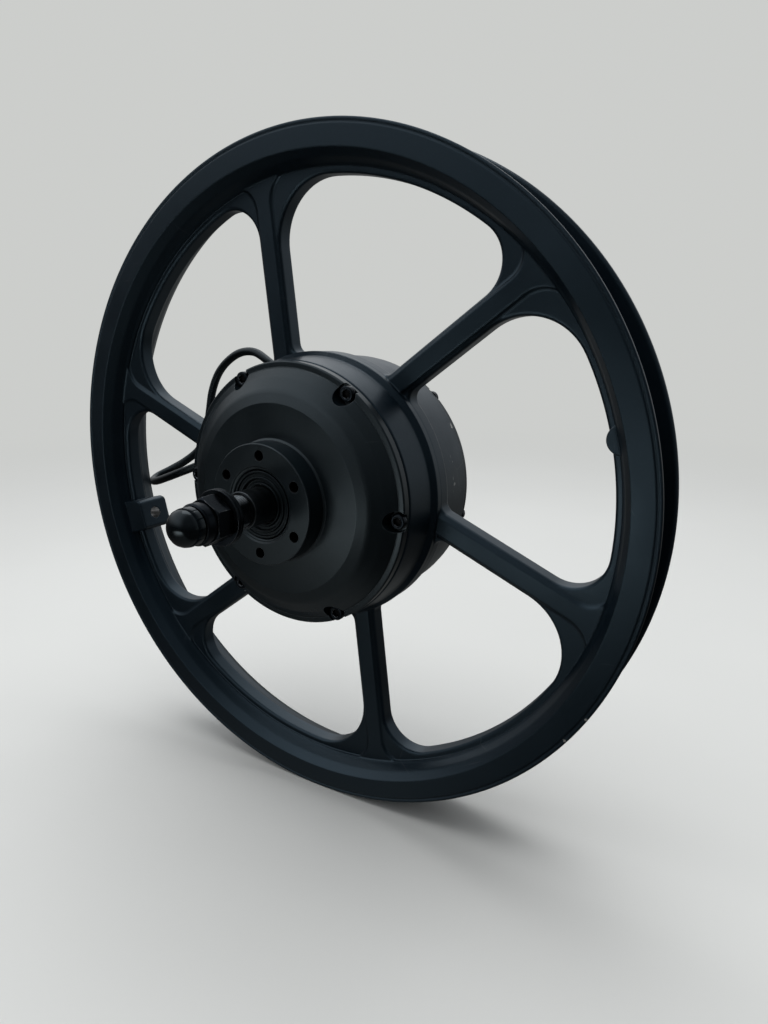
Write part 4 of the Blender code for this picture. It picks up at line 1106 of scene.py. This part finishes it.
def nut_shape(r, y, angle):
    """A hexagon whose corners are turned off at both ends."""
    if r != NUT_HALF:
        return r
    end = min(abs(abs(y) - NUT_Y), abs(COLLAR_Y - abs(y)))
    return min(hexagon(r, angle), 9.25 + 1.75 * end)


def axle_hardware(prefix, sign):
    """Two washers, the nut with its collar, and the end cap, from the dropout outwards."""
    steel = [FINISH["blackened_steel"]]
    for name, y in (("inner_washer", WASHER_Y + 0.2), ("outer_washer", WASHER_Y + 1.9)):
        far = y + WASHER_THICKNESS
        ring = [(HARDWARE_BORE_R, y, 0.1), (WASHER_R, y, 0.3), (WASHER_R, far, 0.3),
                (HARDWARE_BORE_R, far, 0.1)]
        made = lathe(f"{prefix}_{name}_plated", [(r, sign * h, f) for r, h, f in ring], 128, steel, 3)
        settle(made, "axle_assembly", "blackened_steel", f"{prefix}_{name}")
    steps = (0.0, 0.2, 0.4, 0.65, 2.5)
    heights = [NUT_Y + h for h in steps] + [COLLAR_Y - h for h in reversed(steps)]
    body = [(HARDWARE_BORE_R, NUT_Y)] + [(NUT_HALF, h) for h in heights]
    body += [(HARDWARE_BORE_R, COLLAR_Y)]
    verts, faces = turned([(r, sign * h) for r, h in body], 96, True, nut_shape)
    made = object_from(f"{prefix}_nut_hexagon", verts, faces, steel)
    settle(made, "axle_assembly", "blackened_steel", f"{prefix}_axle_nut")
    collar = [(HARDWARE_BORE_R, COLLAR_Y), (8.3, COLLAR_Y + 0.02), (8.3, COLLAR_Y + 0.5, 0.2),
              (8.7, COLLAR_Y + 0.9, 0.4), (8.7, CAP_Y - 1.0, 0.9), (8.0, CAP_Y - 0.5, 0.3),
              (HARDWARE_BORE_R, CAP_Y - 0.5)]
    made = lathe(f"{prefix}_nut_collar", [(r, sign * y, *f) for r, y, *f in collar], 96, steel, 4)
    settle(made, "axle_assembly", "blackened_steel")
    cap = [(0.0, CAP_TIP_Y), (1.8, CAP_TIP_Y - 0.12), (3.6, CAP_TIP_Y - 0.6),
           (5.4, CAP_TIP_Y - 1.55), (6.7, CAP_TIP_Y - 2.8), (7.5, CAP_TIP_Y - 4.4),
           (CAP_R, CAP_TIP_Y - 6.4), (CAP_R, CAP_Y + 0.3, 0.2), (CAP_R - 0.3, CAP_Y, 0.2),
           (CAP_BORE_R, CAP_Y), (CAP_BORE_R, CAP_TIP_Y - 4.6), (0.0, CAP_TIP_Y - 4.6)]
    made = lathe(f"{prefix}_end_cap_dome", [(r, sign * y, *f) for r, y, *f in cap], 96,
                 [FINISH["black_moulding"]], 3, False)
    settle(made, "axle_assembly", "black_moulding", f"{prefix}_end_cap")


axle()
axle_sleeve()
axle_hardware("disc_side", -1.0)
axle_hardware("cable_side", 1.0)

# ---- inner pieces


def ball_set(prefix, bore_r, outer_r, y0, y1):
    """A bearing's balls, each half sunk in a thin round cage."""
    middle = (y0 + y1) / 2
    track_r = (bore_r + outer_r) / 2
    ball_r = BALL_SHARE * (outer_r - bore_r)
    steel = [FINISH["bearing_steel"]]
    inside = track_r - CAGE_HALF_WIDTH
    outside = track_r + CAGE_HALF_WIDTH
    front = middle - CAGE_HALF_HEIGHT
    rear = middle + CAGE_HALF_HEIGHT
    pieces = [lathe("cage", [(inside, front), (outside, front), (outside, rear), (inside, rear)],
                    64, steel)]
    arc = [(ball_r * sin(pi * k / 12), -ball_r * cos(pi * k / 12))
           for k in range(13)]
    for k in range(BALL_COUNT):
        place = at(track_r, 360.0 * k / BALL_COUNT, middle)
        verts, faces = turned(arc, 24, False, None, place)
        pieces.append(object_from(f"ball_{k}", verts, faces, steel))
    settle(combine(f"{prefix}_balls_and_cage", pieces), f"{prefix}_balls", "bearing_steel",
           f"{prefix}_bearing_balls")


ball_set("disc_side", 7.3, 14.0, -46.4, -39.5)
ball_set("cable_side", 8.6, 15.0, 38.8, 45.6)
ball_set("rotor", 7.3, 14.0, -6.8, 7.2)

SLOT_OF = {row["node"]: row["material_slot"] for row in frame["record"]["subparts"]}
for node_name, node in frame["nodes"].items():
    node.data.materials.clear()
    node.data.materials.append(FINISH[SLOT_OF[node_name]])

# ---- floor and light

BACKGROUND = (0.605, 0.615, 0.600)
BACKGROUND_LIT = (0.96, 0.98, 1.0)
FLOOR_TONES = ((0.730, 0.738, 0.722), (0.750, 0.758, 0.742))
FLOOR_ROUGHNESS = 0.75
FLOOR_SPECULAR = 0.2
FLOOR_R = 9.0
FLOOR_SIDES = 96
FADE_FROM = 0.35
FADE_TO = 1.5
SHEEN_PATCH = (-120.0, -700.0, CAD_LOW.z / MM)
SHEEN_PATCH_GLOW = 3.2
FAINT_GLOW = 0.04
REAR_GLOW = 0.32


def floor_paper():
    """Pale paper that fades into the backdrop. Reflections see it as a painted glow instead: dark,
    with one bright glowing patch.
    """
    material, tree, shader = new_material("floor_paper")
    place = add(tree, "TexCoord").outputs["Object"]
    tone = cloudy(tree, noise_value(tree, place, 3.0, 3.0), *FLOOR_TONES)
    tree.links.new(tone, shader.inputs["Base Color"])
    shader.inputs["Roughness"].default_value = FLOOR_ROUGHNESS
    shader.inputs["Specular IOR Level"].default_value = FLOOR_SPECULAR
    away = add(tree, "VectorMath", {0: place}, operation="LENGTH").outputs["Value"]
    where = add(tree, "SeparateXYZ", {0: place}).outputs
    # Painted glow: what reflections see of the floor is emitted light, faint, with one bright patch in
    # front and more behind.
    patch = remap(tree, distance_to(tree, place, SHEEN_PATCH), 0.10, 0.40, SHEEN_PATCH_GLOW, 0.0)
    unseen = maths(tree, "ADD", remap(tree, where["X"], -0.32, 0.12, 0.0, 0.22), patch)
    shaded = remap(tree, where["X"], 0.03, 0.13, 1.0, FAINT_GLOW)
    unseen = maths(tree, "MULTIPLY", unseen, shaded)
    unseen = maths(tree, "ADD", unseen, FAINT_GLOW)
    unseen = maths(tree, "ADD", unseen, remap(tree, where["Y"], 0.1, 1.0, 0.0, REAR_GLOW))
    camera_ray = add(tree, "LightPath").outputs["Is Camera Ray"]
    mirrored = maths(tree, "SUBTRACT", 1.0, camera_ray)
    level = maths(tree, "ADD", camera_ray, maths(tree, "MULTIPLY", mirrored, unseen))
    glow = add(tree, "Emission", {"Color": (*BACKGROUND, 1.0), "Strength": level})
    fade = maths(tree, "MAXIMUM", remap(tree, away, FADE_FROM, FADE_TO, 0.0, 1.0), mirrored)
    mixed = add(tree, "MixShader", {"Fac": fade, 1: shader.outputs[0], 2: glow.outputs[0]})
    tree.links.new(mixed.outputs["Shader"], tree.nodes["Material Output"].inputs["Surface"])
    return material


def floor():
    """A round floor at the height of the wheel's lowest point."""
    verts = []
    for k in range(FLOOR_SIDES):
        a = 2 * pi * k / FLOOR_SIDES
        verts.append((FLOOR_R * cos(a), FLOOR_R * sin(a), CAD_LOW.z))
    mesh = bpy.data.meshes.new("floor")
    mesh.from_pydata(verts, [], [list(range(FLOOR_SIDES))])
    mesh.materials.append(floor_paper())
    new_object("floor", mesh)


def backdrop_light():
    """A pale backdrop; what the metal reflects is brighter above and behind the wheel."""
    world = bpy.data.worlds.new("studio")
    bpy.context.scene.world = world
    world.use_nodes = True
    tree = world.node_tree
    direction = add(tree, "TexCoord").outputs["Generated"]
    parts = add(tree, "SeparateXYZ", {0: direction}).outputs
    upward = maths(tree, "MULTIPLY", remap(tree, parts["Z"], 0.0, 0.55, 0.0, 0.75),
                   remap(tree, parts["X"], -0.45, 0.35, 1.0, 0.08))
    behind = remap(tree, parts["Y"], 0.0, 0.9, 0.0, REAR_GLOW)
    level = maths(tree, "ADD", maths(tree, "ADD", upward, behind), 0.05)
    seen = add(tree, "Background", {"Color": (*BACKGROUND, 1.0), "Strength": 1.0})
    lit = add(tree, "Background", {"Color": (*BACKGROUND_LIT, 1.0), "Strength": level})
    camera_ray = add(tree, "LightPath").outputs["Is Camera Ray"]
    mixed = add(tree, "MixShader", {"Fac": camera_ray, 1: lit.outputs[0], 2: seen.outputs[0]})
    tree.links.new(mixed.outputs["Shader"], tree.nodes["World Output"].inputs["Surface"])


def softbox(name, stands, width, height, watts, mirrored=True):
    """A soft rectangular light, in metres and watts, that faces the wheel's centre."""
    data = bpy.data.lights.new(name, "AREA")
    data.shape = "RECTANGLE"
    data.size = width
    data.size_y = height
    data.energy = watts
    made = new_object(name, data)
    made.visible_glossy = mirrored
    made.location = stands
    made.rotation_mode = "QUATERNION"
    made.rotation_quaternion = (-Vector(stands)).to_track_quat("-Z", "Y")


floor()
backdrop_light()
softbox("overhead", stands=(0.0, 0.05, 1.4), width=1.7, height=1.5, watts=16.0, mirrored=False)
softbox("key", stands=(-0.30, 0.40, 1.3), width=0.9, height=0.7, watts=2.5)
bpy.context.scene.view_settings.view_transform = "Standard"
